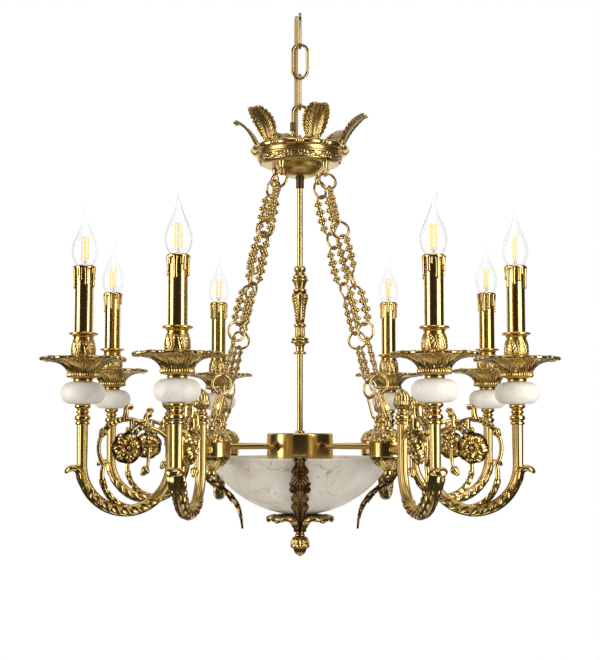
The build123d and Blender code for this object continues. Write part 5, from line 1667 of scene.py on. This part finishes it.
def finish_solids():
    """Materials of the crown loop and of the inner solids."""
    finishes = {
        "crown_loop": satin_brass, "cable_bush": white_plastic, "hub_floor": satin_brass,
        "terminal_block": white_plastic, "tie_rod": satin_brass, "candle_nipples": satin_brass,
        "lamp_holders": white_plastic,
    }
    for name, material in finishes.items():
        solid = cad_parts[name]
        solid.data.materials.clear()
        solid.data.materials.append(material)


# Studio


def softbox(name, bearing, distance, height, size, radiance):
    """Large rectangular light that faces the object."""
    data = bpy.data.lights.new(name, "AREA")
    data.shape = "RECTANGLE"
    data.size, data.size_y = size
    data.energy = radiance * math.pi * size[0] * size[1]
    lamp = bpy.data.objects.new(name, data)
    x, y = polar(distance, bearing)
    lamp.location = (x, y, height)
    lamp.rotation_euler = (Vector((0, 0, -0.5)) - lamp.location).to_track_quat("-Z", "Y").to_euler()
    lamp.visible_camera = False
    bpy.context.scene.collection.objects.link(lamp)


def studio():
    """White surroundings, a tent of dark cloth round the object, softboxes, floor and camera."""
    world = bpy.data.worlds.new("studio")
    bpy.context.scene.world = world
    world.use_nodes = True
    tree = world.node_tree
    tree.nodes.clear()
    path = add(tree, "ShaderNodeLightPath")
    seen = maths(tree, "MAXIMUM", path.outputs["Is Camera Ray"], path.outputs["Is Glossy Ray"])
    seen = maths(tree, "MAXIMUM", seen, path.outputs["Is Transmission Ray"])
    ambient, white = (0.70, 0.70, 0.70), (1.0, 1.0, 1.0)
    colour = mix_colour(tree, seen, ambient, white)
    light = add(tree, "ShaderNodeBackground", {"Strength": 1.0}, {"Color": colour})
    add(tree, "ShaderNodeOutputWorld", links={"Surface": light.outputs[0]})
    softbox("softbox_left", -66.0, 1.9, -0.35, (1.0, 2.0), 4.2)
    softbox("softbox_right", 46.0, 1.15, -0.40, (0.55, 1.5), 4.6)
    softbox("softbox_top", 0.0, 0.8, 1.3, (1.2, 1.0), 2.2)
    floor()
    dark_cloth()
    camera()


def stage_piece(casting, name, tones, height):
    """Put a plain piece of the studio in place; tones are the two colours of its mottling."""
    material, tree, shader = new_material(name)
    where = add(tree, "ShaderNodeTexCoord").outputs["Object"]
    speck = add(tree, "ShaderNodeTexNoise", {"Scale": 60.0, "Detail": 3.0}, {"Vector": where})
    mottled = ramp(tree, speck.outputs["Fac"], [(0.3, tones[0]), (0.7, tones[1])])
    tree.links.new(mottled, shader.inputs["Base Color"])
    shader.inputs["Roughness"].default_value = 0.8
    mesh = casting.mesh(name)
    mesh.materials.append(material)
    piece = bpy.data.objects.new(name, mesh)
    piece.location.z = height
    bpy.context.scene.collection.objects.link(piece)
    return piece, shader


def floor():
    """Round pale floor well below the object."""
    casting = Casting()
    radius, level = 900, -2.6
    turned(casting, [(0.5, 0), (radius, 0), (radius + 2, -2), (radius, -4), (0.5, -4)], 96, spacing=200)
    shader = stage_piece(casting, "pale_floor", [(0.90, 0.90, 0.90), (0.94, 0.94, 0.94)], level)[1]
    shader.inputs["Emission Color"].default_value = (1, 1, 1, 1)
    shader.inputs["Emission Strength"].default_value = 0.25


def dark_cloth():
    """Tent of dark cloth that only reflections show; it covers all but an opening behind the object."""
    casting = Casting()
    reach, half_angle, lean = 2600, 128, -70
    turns = np.radians(np.linspace(0.2, half_angle, 24))
    outline = [(reach * math.sin(turn), -reach * math.cos(turn)) for turn in turns]
    turned(casting, outline, 96, spacing=200, caps=False)
    tent = stage_piece(casting, "dark_cloth", [(0.026, 0.020, 0.011), (0.036, 0.027, 0.015)], -0.5)[0]
    tent.rotation_euler = (math.radians(lean), 0, 0)
    tent.visible_camera = False
    tent.visible_diffuse = False
    tent.visible_transmission = False
    tent.visible_shadow = False


def camera():
    """Camera at the photograph's place, level with the hub and tilted up a little."""
    picture_width, picture_height = 600, 660
    focal_pixels = 1265.8
    distance, rise, tilt = 1.8684, 3.6, 4.54
    data = bpy.data.cameras.new("camera")
    data.sensor_width = 36.0
    data.lens = focal_pixels * data.sensor_width / max(picture_width, picture_height)
    eye = bpy.data.objects.new("camera", data)
    eye.location = (0.0, -distance, (hub_top_z + rise) * MM)
    eye.rotation_euler = (math.radians(90.0 + tilt), 0, 0)
    bpy.context.scene.collection.objects.link(eye)
    bpy.context.scene.camera = eye


bpy.context.scene.view_settings.view_transform = "Standard"
studio()
supply_cable()
hanging_chain()
crown()
stem()
hub()
spindles()
bowl()
arm_bars()
arm_scrolls()
leg_tops()
candle_collars()
beads()
pans()
cups()
sleeves()
bulbs()
decorative_chains()
finish_solids()
